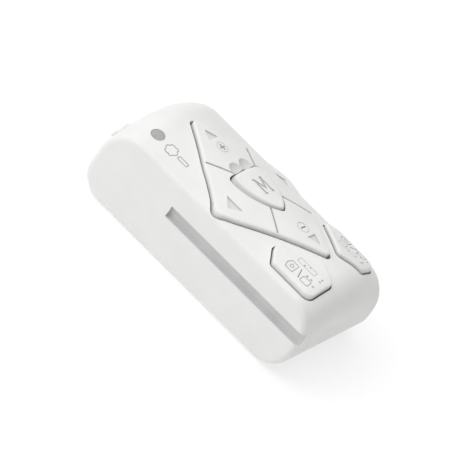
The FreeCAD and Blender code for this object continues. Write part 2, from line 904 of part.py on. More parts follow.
def key_membrane():
    """Silicone sheet on the key frame with a hollow dome and an inner plunger over every switch."""
    sheet = frame_box(frame_plate_top, membrane_top)
    cuts = []
    for low, high in post_places(membrane_hole_gap):
        cuts.append(box((*low, 0.0), (*high, over_everything)))
    for place in screw_places:
        cuts.append(upright(place, boss_radius + frame_margin, 0.0, over_everything))
    domes = []
    for place in key_switch_places:
        domes.append(upright(place, membrane_bump_radius, frame_plate_top, bump_top))
        hollow = upright(place, membrane_bump_radius - membrane_wall, 0.0, bump_top - membrane_wall)
        plunger = upright(place, membrane_plunger_radius, switch_top + membrane_plunger_gap, bump_top)
        cuts.append(hollow.cut(plunger))
        domes.append(plunger)
    return cut_all(fuse_all([sheet] + domes), cuts)


def charge_port():
    """Socket: folded metal shell, closed at the back, with a tongue inside."""
    far = half_length - port_recess
    near = far - port_length
    shell = port_prism(0.0, near, far).cut(port_prism(-port_wall, near + port_wall, far + wall))
    middle = board_top + port_height / 2
    low = (port_x - tongue_width / 2, near + port_wall / 2, middle - tongue_thickness / 2)
    high = (port_x + tongue_width / 2, far - port_recess, middle + tongue_thickness / 2)
    return fuse_all([shell, box(low, high)])


def battery():
    """Flat pouch cell with rounded long edges."""
    side = battery_width / 2
    near = battery_centre_y - battery_length / 2
    far = battery_centre_y + battery_length / 2
    cell = box((-side, near, battery_bottom), (side, far, battery_bottom + battery_thickness))
    long_edges = [edge for edge in cell.Edges if edge.BoundBox.YLength > battery_length / 2]
    return cell.makeFillet(battery_corner_radius, long_edges)


def battery_pad():
    """Foam pad that holds the cell on the cover."""
    side = battery_width / 2 - foam_margin
    reach = battery_length / 2 - foam_margin
    low = (-side, battery_centre_y - reach, cover_thickness)
    return box(low, (side, battery_centre_y + reach, battery_bottom))


def connector_corner():
    """Lowest corner of the battery connector under the board."""
    near = battery_centre_y - battery_length / 2 - connector_gap - connector_size[1]
    return (connector_x, near, board_bottom - connector_size[2])


def battery_connector():
    """Header under the board that takes the cell's two wires."""
    low = connector_corner()
    return box(low, tuple(low[axis] + connector_size[axis] for axis in range(3)))


def battery_lead():
    """Two short wires from the cell's near end to the connector."""
    low = connector_corner()
    end = low[1] + connector_size[1]
    wires = []
    for side in (-1, 1):
        x = low[0] + connector_size[0] / 2 + side * wire_spacing / 2
        wires.append(
            Part.makeCylinder(wire_radius, connector_gap, vec(x, end, low[2] + 2 * wire_radius), vec(0, 1, 0))
        )
    return Part.makeCompound(wires)


def radio_module():
    """Shield can of the radio with bevelled top edges."""
    low = (module_centre[0] - module_size[0] / 2, module_centre[1] - module_size[1] / 2, board_top)
    high = tuple(low[axis] + module_size[axis] for axis in range(3))
    can = box(low, high)
    top = [edge for edge in can.Edges if edge.BoundBox.ZMin > high[2] - flat_within]
    return can.makeChamfer(port_wall, top)


def board_components():
    """Charging chip, memory chip, crystal, inductor and two capacitors on top of the board."""
    chips = []
    for x, y, size_x, size_y, height in component_places:
        low = (x - size_x / 2, y - size_y / 2, board_top)
        chips.append(box(low, (x + size_x / 2, y + size_y / 2, board_top + height)))
    return Part.makeCompound(chips)


def indicator_led():
    """Small surface-mounted lamp under the light pipe."""
    low = (lens_x - led_size[0] / 2, lens_y - led_size[1] / 2, board_top)
    return box(low, tuple(low[axis] + led_size[axis] for axis in range(3)))


makers = {
    "housing": housing,
    "bottom_cover": bottom_cover,
    "cover_screws": cover_screws,
    "direction_pad": direction_pad,
    "pivot_ring": pivot_ring,
    "mode_key": mode_key,
    "left_function_key": lambda: function_key(-1),
    "right_function_key": lambda: function_key(1),
    "power_key": power_key,
    "indicator_lens": indicator_lens,
    "key_frame": key_frame,
    "key_membrane": key_membrane,
    "circuit_board": circuit_board,
    "pad_switches": lambda: Part.makeCompound([push_switch(place) for place in pad_switch_places]),
    "mode_switch": lambda: push_switch(mode_switch_place),
    "function_switches": lambda: Part.makeCompound([push_switch(place) for place in function_switch_places]),
    "power_switch": power_switch,
    "indicator_led": indicator_led,
    "radio_module": radio_module,
    "board_components": board_components,
    "charge_port": charge_port,
    "battery": battery,
    "battery_pad": battery_pad,
    "battery_connector": battery_connector,
    "battery_lead": battery_lead,
}

os.makedirs("parts", exist_ok=True)
for name, make in makers.items():
    shape = make()
    shape.exportStep("parts/" + name + ".step")
    print(name, len(shape.Solids), round(shape.Volume, 2), shape.isValid())
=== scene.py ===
"""A hand-held bluetooth remote control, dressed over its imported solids.

The moulded shell and the keys are carved copies of their solids with the function signs sunk in.
Sizes in the classes are millimetres in the part's own frame: +X right, +Y to the far end, +Z up.
"""

from __future__ import annotations

import logging
import math
from abc import ABC, abstractmethod
from collections.abc import Callable, Sequence
from dataclasses import dataclass, field, replace
from enum import Enum

import bmesh
import bpy
from mathutils import Matrix, Vector
from mathutils.bvhtree import BVHTree
from mathutils.geometry import barycentric_transform

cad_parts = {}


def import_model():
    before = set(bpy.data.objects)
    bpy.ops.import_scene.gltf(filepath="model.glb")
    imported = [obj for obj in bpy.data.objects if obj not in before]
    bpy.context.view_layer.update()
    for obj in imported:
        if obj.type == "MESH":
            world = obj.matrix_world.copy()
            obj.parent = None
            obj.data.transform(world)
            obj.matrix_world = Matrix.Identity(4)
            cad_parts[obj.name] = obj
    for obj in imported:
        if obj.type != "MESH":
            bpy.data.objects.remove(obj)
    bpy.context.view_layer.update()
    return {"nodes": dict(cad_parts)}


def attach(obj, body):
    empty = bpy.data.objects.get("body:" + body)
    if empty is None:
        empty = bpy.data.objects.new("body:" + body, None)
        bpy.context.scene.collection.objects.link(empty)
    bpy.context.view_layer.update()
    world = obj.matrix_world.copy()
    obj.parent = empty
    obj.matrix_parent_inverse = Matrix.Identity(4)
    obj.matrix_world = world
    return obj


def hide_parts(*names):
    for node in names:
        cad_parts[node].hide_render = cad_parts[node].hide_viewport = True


MM = 0.001

# The crowned top is a round arch across the part.
CROWN_MIDDLE = -2.8
CROWN_TOP = 20.2
CROWN_RADIUS = 40.0

Point = tuple[float, float]
Triple = tuple[float, float, float]
Socket = bpy.types.NodeSocket
Nodes = dict[str, bpy.types.Object]

log = logging.getLogger("remote")


class Body(Enum):
    """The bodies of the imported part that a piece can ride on."""

    SHELL = "body"
    PAD = "pad"
    MODE = "mode"
    LEFT = "left_key"
    RIGHT = "right_key"


class NodeSheet:
    """A node tree with short calls that add nodes."""

    def __init__(self, tree: bpy.types.NodeTree) -> None:
        """Starts on a tree."""
        self.tree = tree

    def feed(self, node: bpy.types.Node, *first: object, **named: object) -> None:
        """Sets up a node.

        Args:
            node: The node.
            first: Values or output sockets for its first inputs, in order.
            named: Its settings, in lower case, and values or output sockets for inputs by their
                capitalised names, with _ for a space.
        """
        pairs = list(zip(node.inputs, first))
        for name, value in named.items():
            if name.islower():
                setattr(node, name, value)
            else:
                pairs.append((node.inputs[name.replace("_", " ")], value))
        for socket, value in pairs:
            self.put(socket, value)

    def put(self, socket: Socket, value: object) -> None:
        """Links an output to an input socket, or sets a plain value on it.

        Args:
            socket: The input socket.
            value: An output socket or a value.
        """
        if isinstance(value, Socket):
            self.tree.links.new(value, socket)
        else:
            socket.default_value = value

    def node(self, kind: str, *first: object, **named: object) -> bpy.types.Node:
        """Adds a node.

        Args:
            kind: The node's type name, without its ShaderNode prefix.
            first: Values or output sockets for its first inputs, as feed takes them.
            named: Its settings and its other inputs, as feed takes them.

        Returns:
            The new node.
        """
        made = self.tree.nodes.new("ShaderNode" + kind)
        self.feed(made, *first, **named)
        return made

    def maths(self, operation: str, *values: object) -> Socket:
        """Returns the result of a named operation of the Math node on values or outputs."""
        return self.node("Math", *values, operation=operation).outputs[0]


class MaterialSheet(NodeSheet):
    """A material's node tree, with short calls for the patterns that the finishes share."""

    def __init__(self, name: str) -> None:
        """Starts a material whose patterns are measured in millimetres of the object.

        Args:
            name: The material's name.
        """
        self.material = bpy.data.materials.new(name)
        self.material.use_nodes = True
        super().__init__(self.material.node_tree)
        place = self.node("TexCoord").outputs["Object"]
        self.place = self.node("Mapping", place, Scale=(1 / MM, 1 / MM, 1 / MM)).outputs["Vector"]

    def set(self, **values: object) -> None:
        """Feeds the shader's inputs, by name with _ for a space."""
        self.feed(self.tree.nodes["Principled BSDF"], **values)

    def stretched(self, factors: Triple) -> Socket:
        """Returns the millimetre coordinates stretched by a factor along each axis."""
        return self.node("Mapping", self.place, Scale=factors).outputs["Vector"]

    def part(self, axis: str) -> Socket:
        """Returns one of the millimetre coordinates."""
        return self.node("SeparateXYZ", self.place).outputs[axis]

    def noise(
        self, size: float, detail: float = 3.0, roughness: float = 0.5, place: Socket | None = None
    ) -> Socket:
        """Adds soft noise.

        Args:
            size: The size of its spots in millimetres.
            detail: How many finer layers it has.
            roughness: How strong the finer layers are.
            place: Other coordinates to read, in millimetres.

        Returns:
            Its factor, from 0 to 1.
        """
        place = place or self.place
        made = self.node(
            "TexNoise", Vector=place, Scale=1 / size, Detail=detail, Roughness=roughness
        )
        return made.outputs["Fac"]

    def cells(self, size: float, **settings: str) -> Socket:
        """Returns the distance of a cell pattern, from its cells' width and its settings."""
        made = self.node("TexVoronoi", Vector=self.place, Scale=1 / size, **settings)
        return made.outputs["Distance"]

    def ramp(
        self, factor: Socket, low: float, high: float, start: float = 0.0, end: float = 1.0
    ) -> Socket:
        """Maps a factor smoothly from low..high to start..end.

        Args:
            factor: The value to map.
            low: The factor at the start.
            high: The factor at the end.
            start: The result at low.
            end: The result at high.

        Returns:
            The mapped value.
        """
        bounds = (low, high, start, end)
        return self.node("MapRange", factor, *bounds, interpolation_type="SMOOTHSTEP").outputs[0]

    def blend(self, factor: Socket, first: Triple | Socket, second: Triple | Socket) -> Socket:
        """Blends two tints by a factor.

        Args:
            factor: 0 gives the first and 1 the second.
            first: A tint or a colour output.
            second: A tint or a colour output.

        Returns:
            The blended colour.
        """
        made = self.node("Mix", factor, data_type="RGBA")
        places = [socket for socket in made.inputs if socket.type == "RGBA"]
        for place, tint in zip(places, (first, second)):
            self.put(place, tint if isinstance(tint, Socket) else (*tint, 1.0))
        return next(socket for socket in made.outputs if socket.type == "RGBA")

    def bump(self, height: Socket, rise: float, below: Socket | None = None) -> Socket:
        """Adds relief.

        Args:
            height: The relief's height, from 0 to 1.
            rise: The relief's full height in millimetres.
            below: The normal of coarser relief that this one lies on.

        Returns:
            The relief's normal.
        """
        more = {} if below is None else {"Normal": below}
        made = self.node("Bump", Height=height, Distance=rise * MM, Strength=1.0, **more)
        return made.outputs["Normal"]

    def open_share(self, reach: float) -> Socket:
        """Returns how open the surface lies within a reach in millimetres: 0 deep in a gap."""
        return self.node("AmbientOcclusion", Distance=reach * MM, samples=8).outputs["AO"]

    def soft_edges(self, radius: float) -> Socket:
        """Returns the normal of the surface with its edges rounded by a radius in millimetres."""
        return self.node("Bevel", Radius=radius * MM, samples=6).outputs["Normal"]

    def lift(self) -> Socket:
        """Measures how high a place lies above the crowned top, with its arch as a parabola.

        Returns:
            The height in millimetres.
        """
        off = self.maths("SUBTRACT", self.part("X"), CROWN_MIDDLE)
        drop = self.maths("MULTIPLY", self.maths("MULTIPLY", off, off), 1 / (2 * CROWN_RADIUS))
        return self.maths("ADD", self.maths("SUBTRACT", self.part("Z"), CROWN_TOP), drop)


@dataclass(frozen=True)
class Finish(ABC):
    """What every finish has.

    Attributes:
        name: The material's name.
        tint: The main tint.
        shade: The tint of its darker, dull or dusty places.
    """

    name: str
    tint: Triple
    shade: Triple

    @abstractmethod
    def paint(self, sheet: MaterialSheet) -> None:
        """Draws the finish on a material's sheet."""

    def material(self) -> bpy.types.Material:
        """Builds the finish.

        Returns:
            The new material.
        """
        sheet = MaterialSheet(self.name)
        self.paint(sheet)
        return sheet.material

    def mottled(
        self, sheet: MaterialSheet, factor: Socket, low: float, high: float, most: float = 1.0
    ) -> Socket:
        """Goes over from the tint to the shade.

        Args:
            sheet: The material's sheet.
            factor: The pattern that drives it.
            low: The pattern's value where the shade starts.
            high: The pattern's value where it is strongest.
            most: The share of the shade there.

        Returns:
            The colour.
        """
        return sheet.blend(sheet.ramp(factor, low, high, 0.0, most), self.tint, self.shade)


@dataclass(frozen=True)
class MouldedPlastic(Finish):
    """Injection-moulded plastic with a spark-eroded grain, slow clouds and polished edges.

    Attributes:
        gloss: The roughness of the polished spots.
        matt: The roughness of the dull spots.
        grain: The width of one grain in millimetres.
        relief: The height of the grain in millimetres.
        edge: The radius in millimetres over which edges catch the light.
        glow: How much light passes under the surface.
        crease_shade: The tint of painted shade deep in gaps and seams, or None for none.
        foot: The tint of painted shade at the foot of a flank, fading upwards, or None for an even
            one.
        foot_low: The height above the crowned top where the foot's tint ends.
        foot_high: The height where the main tint begins.
    """

    gloss: float = 0.38
    matt: float = 0.5
    grain: float = 0.16
    relief: float = 0.006
    edge: float = 0.12
    glow: float = 0.0
    crease_shade: Triple | None = None
    foot: Triple | None = None
    foot_low: float = 0.97
    foot_high: float = 1.45

    def paint(self, sheet: MaterialSheet) -> None:
        """Draws clouds, specks, grain and rubbed spots, then painted shade at a foot and in
        creases.

        Args:
            sheet: The material's sheet.
        """
        clouds = sheet.noise(7.0, detail=4.0, roughness=0.6)
        flow = sheet.noise(2.6, detail=2.0, place=sheet.stretched((1.0, 0.35, 1.0)))
        tone = self.mottled(sheet, sheet.maths("MULTIPLY_ADD", flow, 0.4, clouds), 0.5, 0.95)
        specks = sheet.noise(0.35, detail=5.0, roughness=0.7)
        tone = sheet.blend(sheet.ramp(specks, 0.66, 0.8, 0.0, 0.35), tone, self.shade)
        # Painted shade: a darker tint at a flank's foot, fading out upwards above the crown.
        if self.foot:
            low = sheet.ramp(sheet.lift(), self.foot_low, self.foot_high, 1.0, 0.0)
            tone = sheet.blend(low, tone, self.foot)
        # Painted shade: a darker tint deep in gaps and seams, kept off the floor.
        if self.crease_shade:
            deep = sheet.ramp(sheet.open_share(0.9), 0.12, 0.5, 1.0, 0.0)
            off_floor = sheet.ramp(sheet.part("Z"), 0.2, 0.7)
            tone = sheet.blend(sheet.maths("MULTIPLY", deep, off_floor), tone, self.crease_shade)
        grain = sheet.cells(self.grain, feature="SMOOTH_F1")
        pits = sheet.noise(self.grain * 2.5, detail=5.0, roughness=0.65)
        rubbed = sheet.noise(4.0, detail=5.0, roughness=0.65)
        sheet.set(
            Base_Color=tone,
            Roughness=sheet.ramp(rubbed, 0.35, 0.7, self.gloss, self.matt),
            Normal=sheet.bump(
                sheet.maths("ADD", grain, pits), self.relief, sheet.soft_edges(self.edge)
            ),
            Specular_IOR_Level=0.45,
            IOR=1.49,
        )
        if self.glow:
            sheet.set(Subsurface_Weight=self.glow, Subsurface_Scale=0.6 * MM)
            sheet.set(Subsurface_Radius=(1.0, 0.8, 0.6))


@dataclass(frozen=True)
class SunkSign(Finish):
    """The dull floor and walls of a sunk function sign, with settled dust."""

    def paint(self, sheet: MaterialSheet) -> None:
        """Draws dust and grit.

        Args:
            sheet: The material's sheet.
        """
        dust = sheet.noise(0.6, detail=5.0, roughness=0.7)
        tone = self.mottled(sheet, dust, 0.4, 0.7)
        sheet.set(Base_Color=tone, Normal=sheet.bump(sheet.cells(0.08), 0.004))
        sheet.set(Roughness=sheet.ramp(dust, 0.3, 0.7, 0.55, 0.75), Specular_IOR_Level=0.3)


@dataclass(frozen=True)
class SmokedLens(Finish):
    """Smoke-tinted light pipe with fine moulded rings and a milky depth.

    Attributes:
        centre: The middle of the rings, as X and Y in millimetres.
    """

    centre: Point

    def paint(self, sheet: MaterialSheet) -> None:
        """Draws the rings, the milky cloud and the darker rim.

        Args:
            sheet: The material's sheet.
        """
        shift = (-self.centre[0], -self.centre[1], 0.0)
        shifted = sheet.node("VectorMath", sheet.place, shift).outputs["Vector"]
        flat = sheet.node("Mapping", shifted, Scale=(1.0, 1.0, 0.0)).outputs["Vector"]
        radius = sheet.node("VectorMath", flat, operation="LENGTH").outputs["Value"]
        rings = sheet.maths("SINE", sheet.maths("MULTIPLY", radius, 22.0))
        cloud = sheet.noise(0.9, detail=4.0, roughness=0.6)
        tone = self.mottled(sheet, cloud, 0.35, 0.7)
        tone = sheet.blend(sheet.ramp(radius, 1.2, 1.5, 0.0, 0.8), tone, self.shade)
        sheet.set(Base_Color=tone, Normal=sheet.bump(rings, 0.004))
        sheet.set(Roughness=sheet.ramp(cloud, 0.3, 0.7, 0.22, 0.36), Specular_IOR_Level=0.5)
        sheet.set(Coat_Weight=0.25, Coat_Roughness=0.15)


@dataclass(frozen=True)
class DrawnMetal(Finish):
    """Sheet or turned metal with fine drawing lines and dull spots.

    Attributes:
        stretch: How the drawing lines are stretched along each axis.
        gloss: The roughness of the bright parts.
        matt: The roughness of the dull parts.
    """

    stretch: Triple = (1.0, 0.06, 1.0)
    gloss: float = 0.22
    matt: float = 0.42

    def paint(self, sheet: MaterialSheet) -> None:
        """Draws the lines and the spots.

        Args:
            sheet: The material's sheet.
        """
        place = sheet.stretched(self.stretch)
        lines = sheet.noise(0.08, detail=4.0, roughness=0.6, place=place)
        spots = sheet.noise(1.1, detail=6.0, roughness=0.65)
        dull = sheet.ramp(sheet.maths("ADD", lines, spots), 0.7, 1.3, self.gloss, self.matt)
        sheet.set(Base_Color=self.mottled(sheet, spots, 0.45, 0.75), Roughness=dull, Metallic=1.0)
        sheet.set(Normal=sheet.bump(lines, 0.003, sheet.soft_edges(0.08)))


@dataclass(frozen=True)
class SolderMask(Finish):
    """Green solder mask, whose shade lies over copper tracks, with bare resin at the cut edges.

    Attributes:
        edge: The tint of the cut edge.
        top: The level of the mask's upper face in millimetres.
        bottom: The level of its lower face in millimetres.
    """

    edge: Triple
    top: float
    bottom: float

    def paint(self, sheet: MaterialSheet) -> None:
        """Draws the tracks, the glass weave, the clouds and the cut edge.

        Args:
            sheet: The material's sheet.
        """
        maze = sheet.maths("MULTIPLY", sheet.cells(1.5, distance="CHEBYCHEV"), 6.0)
        tracks = sheet.ramp(sheet.maths("PINGPONG", maze, 1.0), 0.5, 0.6)
        weave = sheet.node("TexChecker", Vector=sheet.place, Scale=2.2).outputs["Fac"]
        cloud = sheet.noise(3.0, detail=4.0)
        tone = sheet.blend(tracks, self.tint, self.shade)
        tone = sheet.blend(sheet.ramp(cloud, 0.3, 0.8, 0.0, 0.35), tone, self.shade)
        middle, reach = (self.top + self.bottom) / 2, (self.top - self.bottom) / 2
        off = sheet.maths("ABSOLUTE", sheet.maths("SUBTRACT", sheet.part("Z"), middle))
        cut = sheet.ramp(off, reach - 0.06, reach - 0.02, 1.0, 0.0)
        sheet.set(Base_Color=sheet.blend(cut, tone, self.edge), Specular_IOR_Level=0.5)
        sheet.set(Roughness=sheet.ramp(cloud, 0.3, 0.7, 0.28, 0.42))
        sheet.set(Normal=sheet.bump(tracks, 0.02, sheet.bump(weave, 0.004)))
        sheet.set(Coat_Weight=0.2, Coat_Roughness=0.2)


@dataclass(frozen=True)
class SoftRubber(Finish):
    """Translucent silicone with a bloom of dust.

    Attributes:
        through: How much light passes through.
    """

    through: float = 0.25

    def paint(self, sheet: MaterialSheet) -> None:
        """Draws the bloom and the grit.

        Args:
            sheet: The material's sheet.
        """
        bloom = sheet.noise(1.6, detail=6.0, roughness=0.7)
        tone = self.mottled(sheet, bloom, 0.4, 0.7)
        sheet.set(Base_Color=tone, Roughness=sheet.ramp(bloom, 0.3, 0.7, 0.5, 0.72))
        sheet.set(Normal=sheet.bump(sheet.noise(0.12), 0.01), Specular_IOR_Level=0.35)
        sheet.set(Subsurface_Weight=self.through, Subsurface_Scale=0.5 * MM, Sheen_Weight=0.15)


@dataclass(frozen=True)
class OpenFoam(Finish):
    """Die-cut black foam, whose shade is the depth of its open cells."""

    def paint(self, sheet: MaterialSheet) -> None:
        """Draws the cells and the fluff.

        Args:
            sheet: The material's sheet.
        """
        open_share = sheet.ramp(sheet.cells(0.3, feature="DISTANCE_TO_EDGE"), 0.05, 0.3)
        fluff = sheet.noise(1.2, detail=5.0)
        sheet.set(Base_Color=sheet.blend(open_share, self.tint, self.shade))
        sheet.set(Roughness=sheet.ramp(fluff, 0.3, 0.7, 0.85, 0.98), Specular_IOR_Level=0.2)
        sheet.set(Normal=sheet.bump(sheet.maths("SUBTRACT", 1.0, open_share), 0.08))


@dataclass(frozen=True)
class CellFoil(Finish):
    """Crinkled aluminium pouch of the flat cell, with hazed creases."""

    def paint(self, sheet: MaterialSheet) -> None:
        """Draws the creases and the dents.

        Args:
            sheet: The material's sheet.
        """
        creases = sheet.ramp(sheet.cells(3.4, feature="DISTANCE_TO_EDGE"), 0.0, 0.12, 1.0, 0.0)
        dents = sheet.noise(2.2, detail=5.0, roughness=0.55)
        sheet.set(Base_Color=self.mottled(sheet, dents, 0.4, 0.7, 0.7), Metallic=0.9)
        sheet.set(Roughness=sheet.ramp(dents, 0.3, 0.7, 0.26, 0.44))
        sheet.set(Normal=sheet.bump(creases, 0.03, sheet.bump(dents, 0.16)))


@dataclass(frozen=True)
class TwoWires(Finish):
    """Insulation of the cell's lead: the tint left of a line and the shade right of it.

    Attributes:
        line: The X of the line in millimetres.
        scuff: The tint of scuffs.
    """

    line: float
    scuff: Triple = (0.6, 0.57, 0.55)

    def paint(self, sheet: MaterialSheet) -> None:
        """Draws both wires and their scuffs.

        Args:
            sheet: The material's sheet.
        """
        side = sheet.maths("GREATER_THAN", sheet.part("X"), self.line)
        scuffs = sheet.noise(0.5, detail=5.0, roughness=0.7)
        tone = sheet.blend(side, self.tint, self.shade)
        tone = sheet.blend(sheet.ramp(scuffs, 0.6, 0.8, 0.0, 0.25), tone, self.scuff)
        sheet.set(Base_Color=tone, Roughness=sheet.ramp(scuffs, 0.3, 0.7, 0.35, 0.55))
        sheet.set(Normal=sheet.bump(scuffs, 0.01), Specular_IOR_Level=0.4)


# The tint of painted shade deep in gaps and seams.
PAINTED_CREASE_SHADE = (0.35, 0.35, 0.345)
SHELL_WHITE = MouldedPlastic(
    "shell_white", (0.86, 0.855, 0.845), (0.832, 0.829, 0.82), crease_shade=PAINTED_CREASE_SHADE
)
KEY_WHITE = MouldedPlastic(
    "key_white",
    (0.87, 0.866, 0.855),
    (0.83, 0.826, 0.815),
    gloss=0.34,
    matt=0.46,
    grain=0.12,
    relief=0.003,
    edge=0.1,
    crease_shade=PAINTED_CREASE_SHADE,
)
# The key white with painted shade on the mode key's left-facing flank: a darker foot, darker
# creases.
KEY_FLANK_SHADE = replace(
    KEY_WHITE,
    name="key_flank_painted_shade",
    gloss=0.4,
    matt=0.5,
    crease_shade=(0.33, 0.33, 0.325),
    foot=(0.60, 0.597, 0.59),
)
# The key white, slightly darker, with weaker painted shade in creases, for walls right of the mode
# key.
KEY_WEAK_SHADE = replace(
    KEY_WHITE,
    name="key_weak_painted_shade",
    tint=(0.84, 0.836, 0.825),
    shade=(0.80, 0.796, 0.785),
    crease_shade=(0.52, 0.52, 0.51),
)
# Painted shade in the rail groove: a flat darker grey for its floor and walls.
GROOVE_SHADE = MouldedPlastic(
    "groove_painted_shade",
    (0.68, 0.68, 0.68),
    (0.63, 0.63, 0.63),
    gloss=0.5,
    matt=0.62,
    grain=0.1,
    relief=0.004,
    edge=0.05,
)
# Painted shade in the pad's two scoops: a grey darker than the key white.
SCOOP_SHADE = replace(
    GROOVE_SHADE,
    name="scoop_painted_shade",
    tint=(0.665, 0.663, 0.655),
    shade=(0.625, 0.623, 0.615),
    relief=0.003,
)
ARROW_GREY = SunkSign("arrow_grey", (0.73, 0.73, 0.72), (0.67, 0.67, 0.66))
SIGN_GREY = SunkSign("sign_grey", (0.60, 0.60, 0.595), (0.53, 0.53, 0.52))
SIGN_DARK = SunkSign("sign_dark", (0.46, 0.46, 0.455), (0.38, 0.38, 0.37))
SIGN_PALE = SunkSign("sign_pale", (0.70, 0.70, 0.69), (0.62, 0.62, 0.61))
LENS_SMOKE = SmokedLens("lens_smoke", (0.42, 0.42, 0.42), (0.32, 0.32, 0.32), (-11.0, 22.8))
RING_NATURAL = MouldedPlastic(
    "ring_natural",
    (0.80, 0.77, 0.68),
    (0.72, 0.69, 0.60),
    gloss=0.28,
    matt=0.42,
    relief=0.004,
    glow=0.2,
)
CARRIER_GREY = MouldedPlastic(
    "carrier_grey",
    (0.44, 0.45, 0.46),
    (0.37, 0.38, 0.39),
    gloss=0.36,
    matt=0.58,
    grain=0.2,
    relief=0.01,
)
SILICONE = SoftRubber("silicone", (0.78, 0.78, 0.76), (0.70, 0.69, 0.66))
BOARD_GREEN = SolderMask(
    "board_green", (0.012, 0.12, 0.05), (0.03, 0.22, 0.09), (0.50, 0.46, 0.28), top=8.4, bottom=7.4
)
SWITCH_DARK = MouldedPlastic(
    "switch_dark",
    (0.035, 0.035, 0.04),
    (0.06, 0.06, 0.062),
    gloss=0.3,
    grain=0.1,
    relief=0.004,
)
LAMP_CLEAR = SoftRubber("lamp_clear", (0.86, 0.84, 0.62), (0.80, 0.78, 0.60), through=0.5)
SHIELD_TIN = DrawnMetal("shield_tin", (0.70, 0.70, 0.69), (0.56, 0.56, 0.55))
CHIP_BLACK = MouldedPlastic(
    "chip_black", (0.028, 0.028, 0.03), (0.05, 0.05, 0.05), gloss=0.42, matt=0.62, grain=0.09
)
CONTACT_GOLD = DrawnMetal(
    "contact_gold", (0.86, 0.62, 0.24), (0.72, 0.50, 0.20), gloss=0.2, matt=0.36
)
PORT_STEEL = DrawnMetal(
    "port_steel", (0.62, 0.62, 0.62), (0.48, 0.48, 0.48), stretch=(0.08, 1.0, 1.0)
)
CELL_FOIL = CellFoil("cell_foil", (0.74, 0.75, 0.76), (0.60, 0.61, 0.62))
FOAM_BLACK = OpenFoam("foam_black", (0.05, 0.05, 0.052), (0.006, 0.006, 0.006))
HEADER_CREAM = MouldedPlastic(
    "header_cream", (0.78, 0.74, 0.62), (0.70, 0.66, 0.54), relief=0.004
)
WIRE_RED = TwoWires("wire_red", (0.02, 0.02, 0.022), (0.55, 0.02, 0.015), 4.0)
SCREW_STEEL = DrawnMetal(
    "screw_steel", (0.50, 0.49, 0.48), (0.36, 0.36, 0.35), stretch=(1.0, 1.0, 0.2)
)


class Palette:
    """The finishes as materials, each built when it is first worn."""

    def __init__(self) -> None:
        """Starts without materials."""
        self.built: dict[str, bpy.types.Material] = {}

    def material(self, finish: Finish) -> bpy.types.Material:
        """Finds the material of a finish, or builds it.

        Args:
            finish: The finish.

        Returns:
            Its material.
        """
        if finish.name not in self.built:
            self.built[finish.name] = finish.material()
        return self.built[finish.name]

    def dress(self, piece: bpy.types.Object, finish: Finish) -> None:
        """Gives a piece one finish through its object's material slots.

        Args:
            piece: A CAD node or a new piece.
            finish: The finish.
        """
        if not piece.material_slots:
            piece.data.materials.append(self.material(finish))
        for place in piece.material_slots:
            place.material = self.material(finish)


def mesh_object(mesh: bmesh.types.BMesh, name: str, scale: float = 1.0) -> bpy.types.Object:
    """Turns a finished bmesh into an object in the scene.

    Args:
        mesh: The bmesh, which is freed.
        name: The object's name.
        scale: What turns its lengths into metres.

    Returns:
        The new object.
    """
    bmesh.ops.scale(mesh, vec=(scale, scale, scale), verts=mesh.verts)
    data = bpy.data.meshes.new(name)
    mesh.to_mesh(data)
    mesh.free()
    made = bpy.data.objects.new(name, data)
    bpy.context.scene.collection.objects.link(made)
    return made


def subtract(
    piece: bpy.types.Object, cutters: list[bpy.types.Object], **settings: object
) -> bpy.types.Mesh:
    """Cuts objects out of a piece, one after the other, and removes them.

    Args:
        piece: The piece, which gets a new mesh.
        cutters: The objects.
        settings: More settings of the Boolean modifiers.

    Returns:
        The new mesh.
    """
    for cutter in cutters:
        cut = piece.modifiers.new(cutter.name, "BOOLEAN")
        cut.operation = "DIFFERENCE"
        cut.solver = "EXACT"
        cut.object = cutter
        for name, value in settings.items():
            setattr(cut, name, value)
    graph = bpy.context.evaluated_depsgraph_get()
    carved = bpy.data.meshes.new_from_object(piece.evaluated_get(graph), depsgraph=graph)
    piece.modifiers.clear()
    piece.data = carved
    for cutter in cutters:
        bpy.data.objects.remove(cutter)
    return carved


